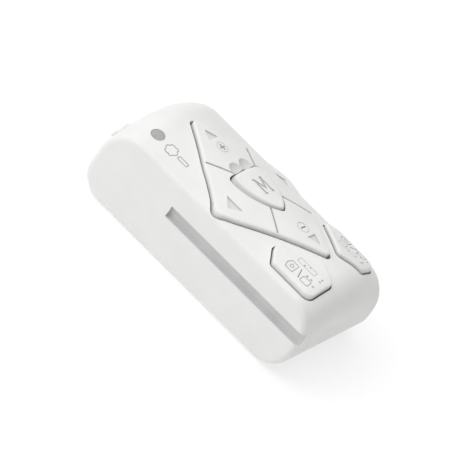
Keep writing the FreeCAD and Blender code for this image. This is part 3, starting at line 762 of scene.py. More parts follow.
class SignSheet:
    """Flat signs drawn on one sheet, which then sinks into a surface as a closed cutter.

    Attributes:
        OVER: How far the cutter stands over the surface, in millimetres.
        HIGH: A level above everything, from where the surface is looked for.
    """

    OVER = 0.4
    HIGH = 40.0

    def __init__(self, depth: float, finish: Finish) -> None:
        """Starts with an empty sheet.

        Args:
            depth: How deep its signs lie, in millimetres.
            finish: The finish of their floors and walls.
        """
        self.depth = depth
        self.finish = finish
        self.mesh = bmesh.new()

    def plate(self, corners: Sequence[Point], radius: float = 0.0, line: float = 0.0) -> None:
        """Draws a shape.

        Args:
            corners: Its corners in millimetres, in order.
            radius: How far its corners are rounded.
            line: The width of its outline, or 0 for a filled shape.
        """
        before = set(self.mesh.faces)
        loop = [self.mesh.verts.new((x, y, 0.0)) for x, y in corners]
        self.mesh.faces.new(loop).normal_update()
        if radius:
            bmesh.ops.bevel(
                self.mesh,
                geom=loop,
                offset=radius,
                offset_type="OFFSET",
                segments=3,
                profile=0.5,
                affect="VERTICES",
                material=-1,
            )
        if line:
            shape = [face for face in self.mesh.faces if face not in before]
            bmesh.ops.inset_region(
                self.mesh, faces=shape, thickness=line, use_even_offset=True, use_boundary=True
            )
            bmesh.ops.delete(self.mesh, geom=shape, context="FACES_ONLY")

    def box(self, low: Point, high: Point, radius: float, line: float = 0.0) -> None:
        """Draws a rectangle between two opposite corners, as plate does."""
        self.plate([low, (high[0], low[1]), high, (low[0], high[1])], radius, line)

    def disc(self, centre: Point, radius: float, line: float = 0.0, sides: int = 28) -> None:
        """Draws a disc, or a ring if it has a line width.

        Args:
            centre: Its middle in millimetres.
            radius: Its outer radius.
            line: The width of the ring, or 0 for a full disc.
            sides: How many sides stand for the circle.
        """
        turn = 2 * math.pi / sides
        angles = [turn * k for k in range(sides)]
        x, y = centre
        rim = [(x + radius * math.cos(angle), y + radius * math.sin(angle)) for angle in angles]
        self.plate(rim, line=line)

    def bar(self, start: Point, end: Point, width: float) -> None:
        """Draws a straight bar with softened ends.

        Args:
            start: The middle of its first end.
            end: The middle of its second end.
            width: Its width.
        """
        soft = 0.3
        first, last = Vector(start), Vector(end)
        along = (last - first).normalized()
        side = Vector((-along.y, along.x)) * width / 2
        self.plate([first - side, last - side, last + side, first + side], width * soft)

    def mirrored(self, shift: float) -> None:
        """Swaps left and right on the whole sheet, then moves it left.

        Args:
            shift: How far it moves, in millimetres.
        """
        bmesh.ops.scale(self.mesh, vec=(-1.0, 1.0, 1.0), verts=self.mesh.verts)
        bmesh.ops.translate(self.mesh, vec=(-shift, 0.0, 0.0), verts=self.mesh.verts)
        bmesh.ops.reverse_faces(self.mesh, faces=self.mesh.faces)

    def sink(self, surface: BVHTree, name: str) -> bpy.types.Object:
        """Closes the sheet into a cutter that follows a surface at an even depth.

        Args:
            surface: The surface, in metres.
            name: The cutter's name.

        Returns:
            The cutter, in metres.
        """
        bmesh.ops.triangulate(self.mesh, faces=self.mesh.faces)
        raised = bmesh.ops.extrude_face_region(
            self.mesh, geom=self.mesh.faces[:], use_keep_orig=True
        )
        upper = {item for item in raised["geom"] if isinstance(item, bmesh.types.BMVert)}
        for vertex in self.mesh.verts:
            start = Vector((vertex.co.x, vertex.co.y, self.HIGH)) * MM
            level = surface.ray_cast(start, Vector((0, 0, -1)))[0].z / MM
            vertex.co.z = level + (self.OVER if vertex in upper else -self.depth)
        bmesh.ops.recalc_face_normals(self.mesh, faces=self.mesh.faces)
        return mesh_object(self.mesh, name, MM)


@dataclass(frozen=True)
class Patch:
    """Part of a skin with a finish of its own.

    Attributes:
        finish: The finish.
        holds: Tells whether a face belongs to it, from its middle in millimetres and its normal.
    """

    finish: Finish
    holds: Callable[[Vector, Vector], bool]

    def dress(self, piece: bpy.types.Object, palette: Palette) -> None:
        """Dresses the faces that belong to the patch.

        Args:
            piece: The piece, whose first finish is that of its plain surface.
            palette: The materials.
        """
        piece.data.materials.append(palette.material(self.finish))
        last = len(piece.data.materials) - 1
        for face in piece.data.polygons:
            if face.material_index == 0 and self.holds(face.center / MM, face.normal):
                face.material_index = last


def crown(x: float) -> float:
    """Returns the level of the crowned top at an X, both in millimetres."""
    return CROWN_TOP - CROWN_RADIUS + math.sqrt(CROWN_RADIUS**2 - (x - CROWN_MIDDLE) ** 2)


def share(value: float, start: float, end: float) -> float:
    """Returns how far a value lies on its way from start to end, from 0 to 1."""
    return min(max((value - start) / (end - start), 0.0), 1.0)


def smooth_share(value: float, start: float, end: float) -> float:
    """Returns that share as a smooth step."""
    part = share(value, start, end)
    return part * part * (3 - 2 * part)


class Bend(ABC):
    """A small change of shape that a copied skin takes, with its normals turned along."""

    @abstractmethod
    def moved(self, place: Vector) -> Vector:
        """Returns where a point comes to lie, in millimetres."""

    def turned(self, place: Vector, normal: Vector) -> Vector:
        """Turns a normal with the surface.

        Args:
            place: The point, in millimetres.
            normal: Its normal before the move.

        Returns:
            The normal that the point gets.
        """
        step = 0.01
        start = self.moved(place)
        if start == place:
            return normal
        rows = [(self.moved(place + axis * step) - start) / step for axis in Matrix.Identity(3)]
        return (Matrix(rows).inverted() @ normal).normalized()

    def shape(self, mesh: bpy.types.Mesh) -> None:
        """Moves a copy of a CAD node's mesh and turns its normals along.

        Args:
            mesh: The copy, in metres.
        """
        corners = [corner.vector.copy() for corner in mesh.corner_normals]
        places = [mesh.vertices[loop.vertex_index].co / MM for loop in mesh.loops]
        normals = [self.turned(place, corner) for place, corner in zip(places, corners)]
        for vertex in mesh.vertices:
            vertex.co = self.moved(vertex.co / MM) * MM
        mesh.normals_split_custom_set(normals)


@dataclass(frozen=True)
class Taper(Bend):
    """Slope of a key's left flank, which narrows it from below the crowned pad's face upwards.

    Attributes:
        middle: The X that the flank leans towards.
        gone: The share of the key's left half that is gone at the top.
        low: The height above the crown where it starts.
        high: The height of the top above the crown.
    """

    middle: float = -0.6
    gone: float = 0.17
    low: float = 0.5
    high: float = 1.4

    def moved(self, place: Vector) -> Vector:
        """Narrows the left half above the foot of its flank.

        Args:
            place: A point of the key, in millimetres.

        Returns:
            Where it comes to lie.
        """
        if place.x > self.middle:
            return place.copy()
        lift = place.z - crown(place.x)
        left = 1 - self.gone * share(lift, self.low, self.high)
        x = self.middle + (place.x - self.middle) * left
        return Vector((x, place.y, crown(x) + lift))


@dataclass(frozen=True)
class BluntCorner(Bend):
    """Inward shift of the pad's left corner and of its opening, which makes the corner blunter.

    Attributes:
        shift: The greatest shift.
        along: The Y of the greatest shift.
        far: How far it dies out towards the far end.
        near: How far it dies out towards the near end.
        outer: The X where it starts, at the side wall.
        full: The X from which it is whole.
        inner: The X from which it dies out.
        end: The X where it ends.
        low: The level below which nothing moves, near the side wall.
        depth: How far above that level it is whole.
        rise: How much that level climbs for each millimetre inwards, to clear the inner skirt.
        climb: The X where the climb starts.
    """

    shift: float = 0.92
    along: float = 2.2
    far: float = 7.5
    near: float = 3.5
    outer: float = -16.4
    full: float = -14.9
    inner: float = -11.5
    end: float = -8.0
    low: float = 12.9
    depth: float = 2.4
    rise: float = 1.2
    climb: float = -13.5

    def moved(self, place: Vector) -> Vector:
        """Shifts the corner inwards along the crown.

        Args:
            place: A point of the pad or the shell, in millimetres.

        Returns:
            Where it comes to lie.
        """
        if place.x < self.outer or place.x > self.end or place.z < self.low:
            return place.copy()
        across = smooth_share(place.x, self.outer, self.full)
        across *= 1 - smooth_share(place.x, self.inner, self.end)
        low = self.low + self.rise * max(place.x - self.climb, 0.0)
        off = place.y - self.along
        along = math.exp(-((off / (self.far if off > 0 else self.near)) ** 2))
        x = place.x + self.shift * across * smooth_share(place.z, low, low + self.depth) * along
        return Vector((x, place.y, place.z + crown(x) - crown(place.x)))


@dataclass
class CarvedPart:
    """A copy of a CAD node with signs cut into it, which keeps the node's shading elsewhere.

    Attributes:
        node: The CAD node that it stands for.
        body: The body that it rides on.
        finish: The finish of its plain surface.
        bend: The change of shape that the copy takes, if any.
        merge: How close points of the skin are joined, in millimetres.
        reach: How near to the node's surface a point takes its normal, in millimetres.
        alike: The least cosine between that surface and the point's face.
    """

    node: str
    body: Body
    finish: Finish
    bend: Bend | None = None
    merge: float = 0.0005
    reach: float = 0.004
    alike: float = 0.9

    def signs(self) -> list[SignSheet]:
        """Returns the signs, one sheet for each depth and finish."""
        return []

    def patches(self) -> list[Patch]:
        """Returns the parts of the surface with a finish of their own."""
        return []

    def build(self, nodes: Nodes, palette: Palette) -> bpy.types.Object:
        """Cuts the signs and dresses the copy.

        Args:
            nodes: The CAD nodes by name.
            palette: The materials.

        Returns:
            The finished piece, in place of the node.
        """
        model = nodes[self.node].data.copy()
        if self.bend:
            self.bend.shape(model)
        skin = bmesh.new()
        skin.from_mesh(model)
        bmesh.ops.remove_doubles(skin, verts=skin.verts, dist=self.merge * MM)
        tree = BVHTree.FromBMesh(skin)
        piece = mesh_object(skin, self.node + "_finished")
        palette.dress(piece, self.finish)
        cutters = []
        for sheet in self.signs():
            cutters.append(sheet.sink(tree, f"{self.node}_{sheet.finish.name}"))
            palette.dress(cutters[-1], sheet.finish)
        carved = subtract(piece, cutters, material_mode="TRANSFER")
        carved.name = piece.name
        self.shade(carved, model)
        bpy.data.meshes.remove(model)
        for patch in self.patches():
            patch.dress(piece, palette)
        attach(piece, self.body.value)
        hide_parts(self.node)
        log.info("%s: %d faces after its signs", piece.name, len(carved.polygons))
        return piece

    def shade(self, carved: bpy.types.Mesh, base: bpy.types.Mesh) -> None:
        """Gives the plain surface the model's normals, and the signs' walls and floors flat ones.

        Args:
            carved: The carved mesh.
            base: The model: the CAD node's mesh, or its bent copy.
        """
        corners = base.corner_normals
        points = [vertex.co for vertex in base.vertices]
        triangles = [tuple(face.vertices) for face in base.polygons]
        starts = [face.loop_start for face in base.polygons]
        tree = BVHTree.FromPolygons(points, triangles)
        carved.polygons.foreach_set("use_smooth", [True] * len(carved.polygons))
        normals: list[Vector] = [Vector((0, 0, 1))] * len(carved.loops)
        for face in carved.polygons:
            flat = face.normal.copy()
            for index in face.loop_indices:
                place = carved.vertices[carved.loops[index].vertex_index].co
                normals[index] = flat
                if face.material_index:
                    continue
                best = self.alike
                for hit, hit_normal, number, _ in tree.find_nearest_range(place, self.reach * MM):
                    match = hit_normal.dot(flat)
                    if match > best:
                        best = match
                        first = starts[number]
                        shape = [points[k] for k in triangles[number]]
                        soft = [corners[first + k].vector for k in range(3)]
                        normals[index] = barycentric_transform(hit, *shape, *soft).normalized()
        carved.normals_split_custom_set(normals)


@dataclass
class Housing(CarvedPart):
    """Moulded shell with a line gear and a bar sunk beside the pad.

    Attributes:
        gear_centre: The middle of the gear.
        gear_tip: The radius to its teeth.
        gear_root: The radius between its teeth.
        teeth: How many teeth it has.
        crest: Half the share of a tooth that its crest takes.
        gear_soft: How far its corners are rounded.
        bar_low: The near left corner of the bar.
        bar_high: The far right corner of the bar.
        bar_soft: How far its corners are rounded.
        line: The width of the sunk lines.
        depth: Their depth.
        groove_low: The lowest corner of the rail groove.
        groove_high: Its highest corner.
    """

    node: str = "housing"
    body: Body = Body.SHELL
    finish: Finish = SHELL_WHITE
    bend: Bend | None = BluntCorner()
    gear_centre: Point = (-11.45, 18.3)
    gear_tip: float = 1.66
    gear_root: float = 1.36
    teeth: int = 6
    crest: float = 0.2
    gear_soft: float = 0.12
    bar_low: Point = (-12.05, 13.35)
    bar_high: Point = (-10.95, 16.3)
    bar_soft: float = 0.3
    line: float = 0.24
    depth: float = 0.14
    groove_low: Triple = (-16.45, -31.0, 9.7)
    groove_high: Triple = (-15.2, 9.75, 12.75)

    def gear(self) -> list[Point]:
        """Lays out the gear.

        Returns:
            The corners of its outline.
        """
        x, y = self.gear_centre
        corners = []
        tooth = [(-self.crest, self.gear_tip), (self.crest, self.gear_tip), (0.5, self.gear_root)]
        for number in range(self.teeth):
            for part, radius in tooth:
                angle = math.pi / 2 + (number + part) * math.pi / (self.teeth / 2)
                corners.append((x + radius * math.cos(angle), y + radius * math.sin(angle)))
        return corners

    def signs(self) -> list[SignSheet]:
        """Draws the gear and the bar.

        Returns:
            One sheet with both outlines.
        """
        sheet = SignSheet(self.depth, SIGN_GREY)
        sheet.plate(self.gear(), self.gear_soft, self.line)
        sheet.box(self.bar_low, self.bar_high, self.bar_soft, self.line)
        return [sheet]

    def patches(self) -> list[Patch]:
        """Returns the rail groove, darkened with painted shade."""
        return [Patch(GROOVE_SHADE, self.in_groove)]

    def in_groove(self, middle: Vector, normal: Vector) -> bool:
        """Tells whether a face, by its middle and normal, belongs to the rail groove."""
        bounds = zip(self.groove_low, middle, self.groove_high)
        return all(low < place < high for low, place, high in bounds)


@dataclass
class DirectionPad(CarvedPart):
    """Rocking pad with four sunk arrows, and a plus and a minus in rings.

    Attributes:
        arrows: The corners of the far, near, left and right arrow.
        arrow_soft: How far their corners are rounded.
        arrow_depth: Their depth.
        plus_centre: The middle of the plus.
        minus_centre: The middle of the minus.
        ring: The radius of the rings.
        line: The width of the rings.
        ring_depth: Their depth.
        arm: Half the length of the plus and the minus.
        stroke: The width of the plus and the minus.
        depth: Their depth.
        scoop_centres: The middles of the balls that shape the two scoops.
        scoop_radius: The radius of the balls.
    """

    node: str = "direction_pad"
    body: Body = Body.PAD
    finish: Finish = KEY_WHITE
    bend: Bend | None = BluntCorner()
    arrows: tuple[tuple[Point, ...], ...] = (
        ((0.0, 18.4), (-1.75, 15.7), (1.75, 15.7)),
        ((0.0, -16.5), (1.45, -13.7), (-1.45, -13.7)),
        ((-12.9, 0.72), (-10.55, -1.65), (-10.55, 3.1)),
        ((11.6, 1.3), (9.5, 3.3), (9.5, -0.7)),
    )
    arrow_soft: float = 0.12
    arrow_depth: float = 0.35
    plus_centre: Point = (0.0, 13.0)
    minus_centre: Point = (0.0, -11.3)
    ring: float = 1.5
    line: float = 0.2
    ring_depth: float = 0.07
    arm: float = 0.85
    stroke: float = 0.4
    depth: float = 0.16
    scoop_centres: tuple[Triple, ...] = ((-2.1, 6.9, 23.844), (2.1, 6.9, 23.549))
    scoop_radius: float = 3.4

    def plus(self) -> list[Point]:
        """Lays out the plus, quarter by quarter.

        Returns:
            Its corners, from the lower left on.
        """
        x, y = self.plus_centre
        arm, half = self.arm, self.stroke / 2
        quarter = [(-arm, -half), (-half, -half), (-half, -arm)]
        corners = []
        for _ in range(4):
            corners += [(x + px, y + py) for px, py in quarter]
            quarter = [(-py, px) for px, py in quarter]
        return corners

    def signs(self) -> list[SignSheet]:
        """Draws the arrows, the rings, the plus and the minus.

        Returns:
            A sheet of arrows, one of pale rings and one with the plus and the minus.
        """
        arrows = SignSheet(self.arrow_depth, ARROW_GREY)
        for arrow in self.arrows:
            arrows.plate(arrow, self.arrow_soft)
        rings = SignSheet(self.ring_depth, SIGN_PALE)
        for centre in (self.plus_centre, self.minus_centre):
            rings.disc(centre, self.ring, self.line)
        strokes = SignSheet(self.depth, SIGN_DARK)
        strokes.plate(self.plus())
        x, y = self.minus_centre
        strokes.bar((x - self.arm, y), (x + self.arm, y), self.stroke)
        return [arrows, rings, strokes]

    def patches(self) -> list[Patch]:
        """Returns the scoops with painted shade and the right wall of the mode key's opening."""
        return [Patch(SCOOP_SHADE, self.in_scoop), Patch(KEY_WEAK_SHADE, self.beside_mode_key)]

    def beside_mode_key(self, middle: Vector, normal: Vector) -> bool:
        """Tells whether a face belongs to the right wall of the mode key's opening."""
        inside = 0.5 < middle.x < 6.5 and -7.5 < middle.y < 6.0 and middle.z > 18.0
        return inside and normal.x < -0.2

    def in_scoop(self, middle: Vector, normal: Vector) -> bool:
        """Tells whether a face, by its middle and normal, belongs to one of the two scoops."""
        off = [(middle - Vector(c)).length - self.scoop_radius for c in self.scoop_centres]
        return normal.z > 0.5 and min(map(abs, off)) < 0.05


@dataclass
class ModeKey(CarvedPart):
    """Shield-shaped key with a slab-footed letter M.

    Attributes:
        centre: The middle of the letter.
        width: Its full width.
        height: Its full height.
        stem: The width of its upright strokes.
        foot: How far its slabs reach past the strokes.
        slab: The height of the slabs.
        shoulder: How far below its top the stems leave the slanted strokes.
        dip: How far below its top the slanted strokes meet.
        above: How far above that the upper corner of their joint lies.
        below: How far below that the lower corner lies.
        depth: Its depth.
    """

    node: str = "mode_key"
    body: Body = Body.MODE
    finish: Finish = KEY_WHITE
    bend: Bend | None = Taper()
    centre: Point = (0.0, 1.05)
    width: float = 3.55
    height: float = 4.4
    stem: float = 0.52
    foot: float = 0.2
    slab: float = 0.42
    shoulder: float = 1.25
    dip: float = 3.0
    above: float = 0.55
    below: float = 0.45
    depth: float = 0.2

    def letter(self) -> list[Point]:
        """Lays out the letter, whose left half mirrors the right one.

        Returns:
            Its corners, from the lower corner of the slanted strokes on.
        """
        x, y = self.centre
        half, high = self.width / 2, self.height / 2
        outer = half - self.foot
        inner = outer - self.stem
        joint = high - self.dip
        right = [
            (inner, high - self.shoulder),
            (inner, -high + self.slab),
            (inner - self.foot, -high + self.slab),
            (inner - self.foot, -high),
            (half, -high),
            (half, -high + self.slab),
            (outer, -high + self.slab),
            (outer, high - self.slab),
            (half, high - self.slab),
            (half, high),
            (inner, high),
            (0.0, joint + self.above),
        ]
        left = [(-px, py) for px, py in reversed(right[:-1])]
        return [(x + px, y + py) for px, py in [(0.0, joint - self.below), *right, *left]]

    def signs(self) -> list[SignSheet]:
        """Draws the letter.

        Returns:
            One sheet with the letter.
        """
        sheet = SignSheet(self.depth, SIGN_GREY)
        sheet.plate(self.letter())
        return [sheet]

    def patches(self) -> list[Patch]:
        """Returns the leaning left flank with painted shade, and the right wall with weaker shade.
        """
        return [Patch(KEY_FLANK_SHADE, self.on_flank), Patch(KEY_WEAK_SHADE, self.on_right_wall)]

    def on_right_wall(self, middle: Vector, normal: Vector) -> bool:
        """Tells whether a face, by its middle and normal, belongs to the right wall."""
        return normal.x > 0.2 and middle.x > 0

    def on_flank(self, middle: Vector, normal: Vector) -> bool:
        """Tells whether a face, by its middle and normal, belongs to the sloped left flank."""
        # Left-facing faces get the flank's painted shade.
        return normal.x < -0.16 and middle.x < 0


@dataclass
class FunctionKey(CarvedPart):
    """Five-sided key with line signs of a camera, a slash, a camcorder, a slider and dots.

    The signs are laid out for the left key, and mirrored on the right one.

    Attributes:
        line: The width of the lines.
        inward: How much nearer the middle the right key's signs lie.
        depth: The depth of the grey outlines.
        camera: The corners of the camera.
        lens: The middle of its lens.
        recorder: The near left and the far right corner of the camcorder.
        dots: The middles of the grey dots.
        bars: The ends and the width, as a share of the line, of the dark strokes.
        bar_depth: The depth of the strokes and the dark dots.
        dark_dots: The middle and the radius of the dark dots.
        slider: The near left and the far right corner of the slider.
        slider_line: The width of its line.
        slider_depth: Its depth.
    """

    finish: Finish = KEY_WHITE
    line: float = 0.2
    inward: float = 0.8
    depth: float = 0.12
    camera: tuple[Point, ...] = (
        (-13.0, -18.65),
        (-10.4, -18.65),
        (-10.4, -16.45),
        (-10.95, -16.45),
        (-11.2, -16.1),
        (-12.2, -16.1),
        (-12.45, -16.45),
        (-13.0, -16.45),
    )
    lens: Point = (-11.7, -17.45)
    recorder: tuple[Point, Point] = ((-13.0, -23.1), (-11.2, -20.75))
    dots: tuple[Point, ...] = ((-11.8, -23.85), (-9.4, -23.8), (-8.5, -23.8))
    bars: tuple[tuple[Point, Point, float], ...] = (
        ((-12.85, -20.3), (-10.45, -19.3), 1.2),
        ((-10.85, -21.5), (-10.7, -21.0), 1.8),
        ((-10.85, -22.2), (-10.65, -22.65), 1.8),
    )
    bar_depth: float = 0.14
    dark_dots: tuple[tuple[Point, float], ...] = (((-9.08, -19.0), 0.2), ((-8.4, -20.1), 0.17))
    slider: tuple[Point, Point] = ((-9.5, -22.1), (-8.0, -17.0))
    slider_line: float = 0.17
    slider_depth: float = 0.07

    def signs(self) -> list[SignSheet]:
        """Draws the signs of the left key, mirrored and moved inwards on the right one.

        Returns:
            A sheet of grey outlines, one of dark strokes and one with the faint slider.
        """
        outlines = SignSheet(self.depth, SIGN_GREY)
        outlines.plate(self.camera, 0.21, self.line)
        outlines.disc(self.lens, 0.52, self.line * 0.9, 20)
        outlines.box(*self.recorder, 0.3, self.line)
        for dot in self.dots:
            outlines.disc(dot, 0.25, sides=12)
        strokes = SignSheet(self.bar_depth, SIGN_DARK)
        for start, end, width in self.bars:
            strokes.bar(start, end, self.line * width)
        for dot, radius in self.dark_dots:
            strokes.disc(dot, radius, sides=12)
        slider = SignSheet(self.slider_depth, SIGN_PALE)
        slider.box(*self.slider, 0.25, self.slider_line)
        sheets = [outlines, strokes, slider]
        if self.body is Body.RIGHT:
            for sheet in sheets:
                sheet.mirrored(self.inward)
        return sheets


@dataclass
class BoardSwitches(CarvedPart):
    """Push switches on the board: dark bodies with tin lids and cream plungers.

    Attributes:
        lid: The level of their lids.
        slack: How near to that level a lid's face lies.
    """

    body: Body = Body.SHELL
    finish: Finish = SWITCH_DARK
    lid: float = 9.6
    slack: float = 0.02

    def patches(self) -> list[Patch]:
        """Returns the lids and the plungers."""
        return [Patch(SHIELD_TIN, self.on_lid), Patch(HEADER_CREAM, self.on_plunger)]

    def on_lid(self, middle: Vector, normal: Vector) -> bool:
        """Tells whether a face, by its middle and normal, belongs to a lid."""
        return abs(middle.z - self.lid) < self.slack and normal.z > 0.5

    def on_plunger(self, middle: Vector, normal: Vector) -> bool:
        """Tells whether a face, by its middle and normal, belongs to a plunger."""
        return middle.z > self.lid + self.slack


@dataclass
class ChargeSocket(CarvedPart):
    """Charging socket with a dark tongue and gold contacts on both of its faces.

    Attributes:
        middle: The X and Z of the tongue's middle.
        reach_across: Half the tongue's width.
        half: Half the tongue's thickness.
        near: The Y where the tongue starts.
        far: The Y of its tip.
        slack: How far past the tongue a face of it may lie.
        pitch: The distance between two contacts.
        count: How many contacts lie on each face.
        size: The width, length and thickness of a contact.
        inset: How far behind the tip a contact starts.
        soft: How far a contact's edges are rounded.
    """

    node: str = "charge_port"
    body: Body = Body.SHELL
    finish: Finish = PORT_STEEL
    middle: Point = (4.6, 9.98)
    reach_across: float = 3.3
    half: float = 0.35
    near: float = 21.9
    far: float = 28.0
    slack: float = 0.02
    pitch: float = 0.5
    count: int = 12
    size: Triple = (0.26, 1.5, 0.04)
    inset: float = 0.15
    soft: float = 0.012

    def patches(self) -> list[Patch]:
        """Returns the tongue."""
        return [Patch(SWITCH_DARK, self.on_tongue)]

    def on_tongue(self, middle: Vector, normal: Vector) -> bool:
        """Tells whether a face belongs to the tongue.

        Args:
            middle: The middle of the face, in millimetres.
            normal: Its normal.

        Returns:
            True on the tongue.
        """
        x, z = self.middle
        across = abs(middle.x - x) < self.reach_across + self.slack
        thick = abs(middle.z - z) < self.half + self.slack
        return across and thick and self.near < middle.y < self.far + self.slack

    def contacts(self, palette: Palette) -> bpy.types.Object:
        """Lays the contacts.

        Args:
            palette: The materials.

        Returns:
            The contacts of both faces as one piece.
        """
        rows = bmesh.new()
        x, z = self.middle
        y = self.far - self.inset - self.size[1] / 2
        scale = Matrix.Diagonal((*self.size, 1.0))
        for number in range(self.count):
            across = x + (number - (self.count - 1) / 2) * self.pitch
            for side in (-self.half, self.half):
                place = Matrix.Translation((across, y, z + side))
                bmesh.ops.create_cube(rows, size=1.0, matrix=place @ scale)
        bmesh.ops.bevel(
            rows,
            geom=rows.edges[:],
            offset=self.soft,
            segments=2,
            profile=0.5,
            affect="EDGES",
            material=-1,
        )
        contacts = mesh_object(rows, "socket_contacts", MM)
        palette.dress(contacts, CONTACT_GOLD)
        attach(contacts, Body.SHELL.value)
        log.info("%s: %d contacts", contacts.name, 2 * self.count)
        return contacts


@dataclass
class CoverScrews:
    """Three long screws with a cross recess in the head, a plain shank and a ringed thread.

    Attributes:
        places: The middles of the screws.
        foot: The level of the head's outer face.
        head: The radius of the head.
        head_soft: How far its outer edge is rounded.
        head_top: The level of its inner face.
        shank: The radius of the shank and of the thread's ridges.
        root: The radius between the ridges.
        thread: The level where the thread starts.
        pitch: The distance between two ridges.
        slope: How far a ridge runs down to the root.
        valley: Where the root ends, from the ridge before it.
        crest: The width of a ridge.
        cone: The least length of the plain end.
        tip: The level of the tip.
        tip_share: Its radius as a share of the root's.
        sides: How many steps turn the outline.
        arm: Half the length of the cross.
        slit: The width of its arms.
        depth: Its depth.
        sharp: The angle in degrees from which an edge stays sharp.
    """

    places: tuple[Point, ...] = ((10.6, 16.6), (-10.6, 14.4), (0.0, -21.1))
    foot: float = 0.1
    head: float = 1.35
    head_soft: float = 0.14
    head_top: float = 0.9
    shank: float = 0.7
    root: float = 0.52
    thread: float = 6.0
    pitch: float = 0.42
    slope: float = 0.13
    valley: float = 0.2
    crest: float = 0.08
    cone: float = 0.45
    tip: float = 11.6
    tip_share: float = 0.6
    sides: int = 36
    arm: float = 0.85
    slit: float = 0.4
    depth: float = 0.5
    sharp: float = 35.0

    def outline(self) -> list[Point]:
        """Lays out half of a screw's section.

        Returns:
            Its corners as radius and level, from the head's middle to the tip's.
        """
        soft = self.head_soft
        points = [
            (0.0, self.foot),
            (self.head - soft, self.foot),
            (self.head - soft / 3, self.foot + soft / 3),
            (self.head, self.foot + soft),
            (self.head, self.head_top),
            (self.shank, self.head_top),
            (self.shank, self.thread),
        ]
        level = self.thread
        while level + self.pitch < self.tip - self.cone:
            points += [(self.root, level + self.slope), (self.root, level + self.valley)]
            points.append((self.shank, level + self.pitch - self.crest))
            level += self.pitch
            points.append((self.shank, level))
        points.append((self.root, level + self.slope))
        return [*points, (self.root * self.tip_share, self.tip), (0.0, self.tip)]

    def spread(self, mesh: bmesh.types.BMesh, name: str) -> bpy.types.Object:
        """Sets a copy of a mesh around the middle at each place and drops the first one.

        Args:
            mesh: The mesh, in millimetres.
            name: The name of the object.

        Returns:
            All copies as one object, in metres.
        """
        first = mesh.verts[:] + mesh.edges[:] + mesh.faces[:]
        points = mesh.verts[:]
        for x, y in self.places:
            copied = bmesh.ops.duplicate(mesh, geom=first)["geom"]
            moved = [item for item in copied if isinstance(item, bmesh.types.BMVert)]
            bmesh.ops.translate(mesh, vec=(x, y, 0.0), verts=moved)
        bmesh.ops.delete(mesh, geom=points, context="VERTS")
        return mesh_object(mesh, name, MM)

    def turned(self) -> bpy.types.Object:
        """Turns the screws from their outline.

        Returns:
            The three screws without their recesses.
        """
        mesh = bmesh.new()
        points = [mesh.verts.new((radius, 0.0, level)) for radius, level in self.outline()]
        edges = [mesh.edges.new(pair) for pair in zip(points, points[1:])]
        bmesh.ops.spin(
            mesh,
            geom=points + edges,
            cent=(0.0, 0.0, 0.0),
            axis=(0.0, 0.0, 1.0),
            angle=2 * math.pi,
            steps=self.sides,
            use_merge=True,
        )
        bmesh.ops.remove_doubles(mesh, verts=mesh.verts, dist=0.0005)
        bmesh.ops.recalc_face_normals(mesh, faces=mesh.faces)
        return self.spread(mesh, "cover_screws_finished")

    def crosses(self) -> bpy.types.Object:
        """Builds the cross recesses.

        Returns:
            The cutter of all three.
        """
        mesh = bmesh.new()
        scale = Matrix.Diagonal((2 * self.arm, self.slit, 2 * self.depth, 1.0))
        for turn in (0.0, math.pi / 2):
            place = Matrix.Translation((0.0, 0.0, self.foot)) @ Matrix.Rotation(turn, 4, "Z")
            bmesh.ops.create_cube(mesh, size=1.0, matrix=place @ scale)
        return self.spread(mesh, "cross_cutter")

    def build(self, palette: Palette) -> bpy.types.Object:
        """Builds and dresses the screws.

        Args:
            palette: The materials.

        Returns:
            The finished screws.
        """
        piece = self.turned()
        carved = subtract(piece, [self.crosses()], use_self=True)
        carved.shade_smooth()
        carved.set_sharp_from_angle(angle=math.radians(self.sharp))
        palette.dress(piece, SCREW_STEEL)
        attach(piece, Body.SHELL.value)
        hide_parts("cover_screws")
        log.info("%s: %d faces", piece.name, len(carved.polygons))
        return piece


@dataclass
class PlainNodes:
    """The CAD nodes that keep their own shape, with the finish of each."""

    finishes: dict[str, Finish] = field(
        default_factory=lambda: {
            "bottom_cover": SHELL_WHITE,
            "pivot_ring": RING_NATURAL,
            "power_key": KEY_WHITE,
            "indicator_lens": LENS_SMOKE,
            "key_frame": CARRIER_GREY,
            "key_membrane": SILICONE,
            "circuit_board": BOARD_GREEN,
            "power_switch": SWITCH_DARK,
            "indicator_led": LAMP_CLEAR,
            "radio_module": SHIELD_TIN,
            "board_components": CHIP_BLACK,
            "battery": CELL_FOIL,
            "battery_pad": FOAM_BLACK,
            "battery_connector": HEADER_CREAM,
            "battery_lead": WIRE_RED,
        }
    )

    def dress(self, nodes: Nodes, palette: Palette) -> None:
        """Gives every plain node its finish.

        Args:
            nodes: The CAD nodes by name.
            palette: The materials.
        """
        for name, finish in self.finishes.items():
            palette.dress(nodes[name], finish)
            log.info("%s wears %s", name, finish.name)


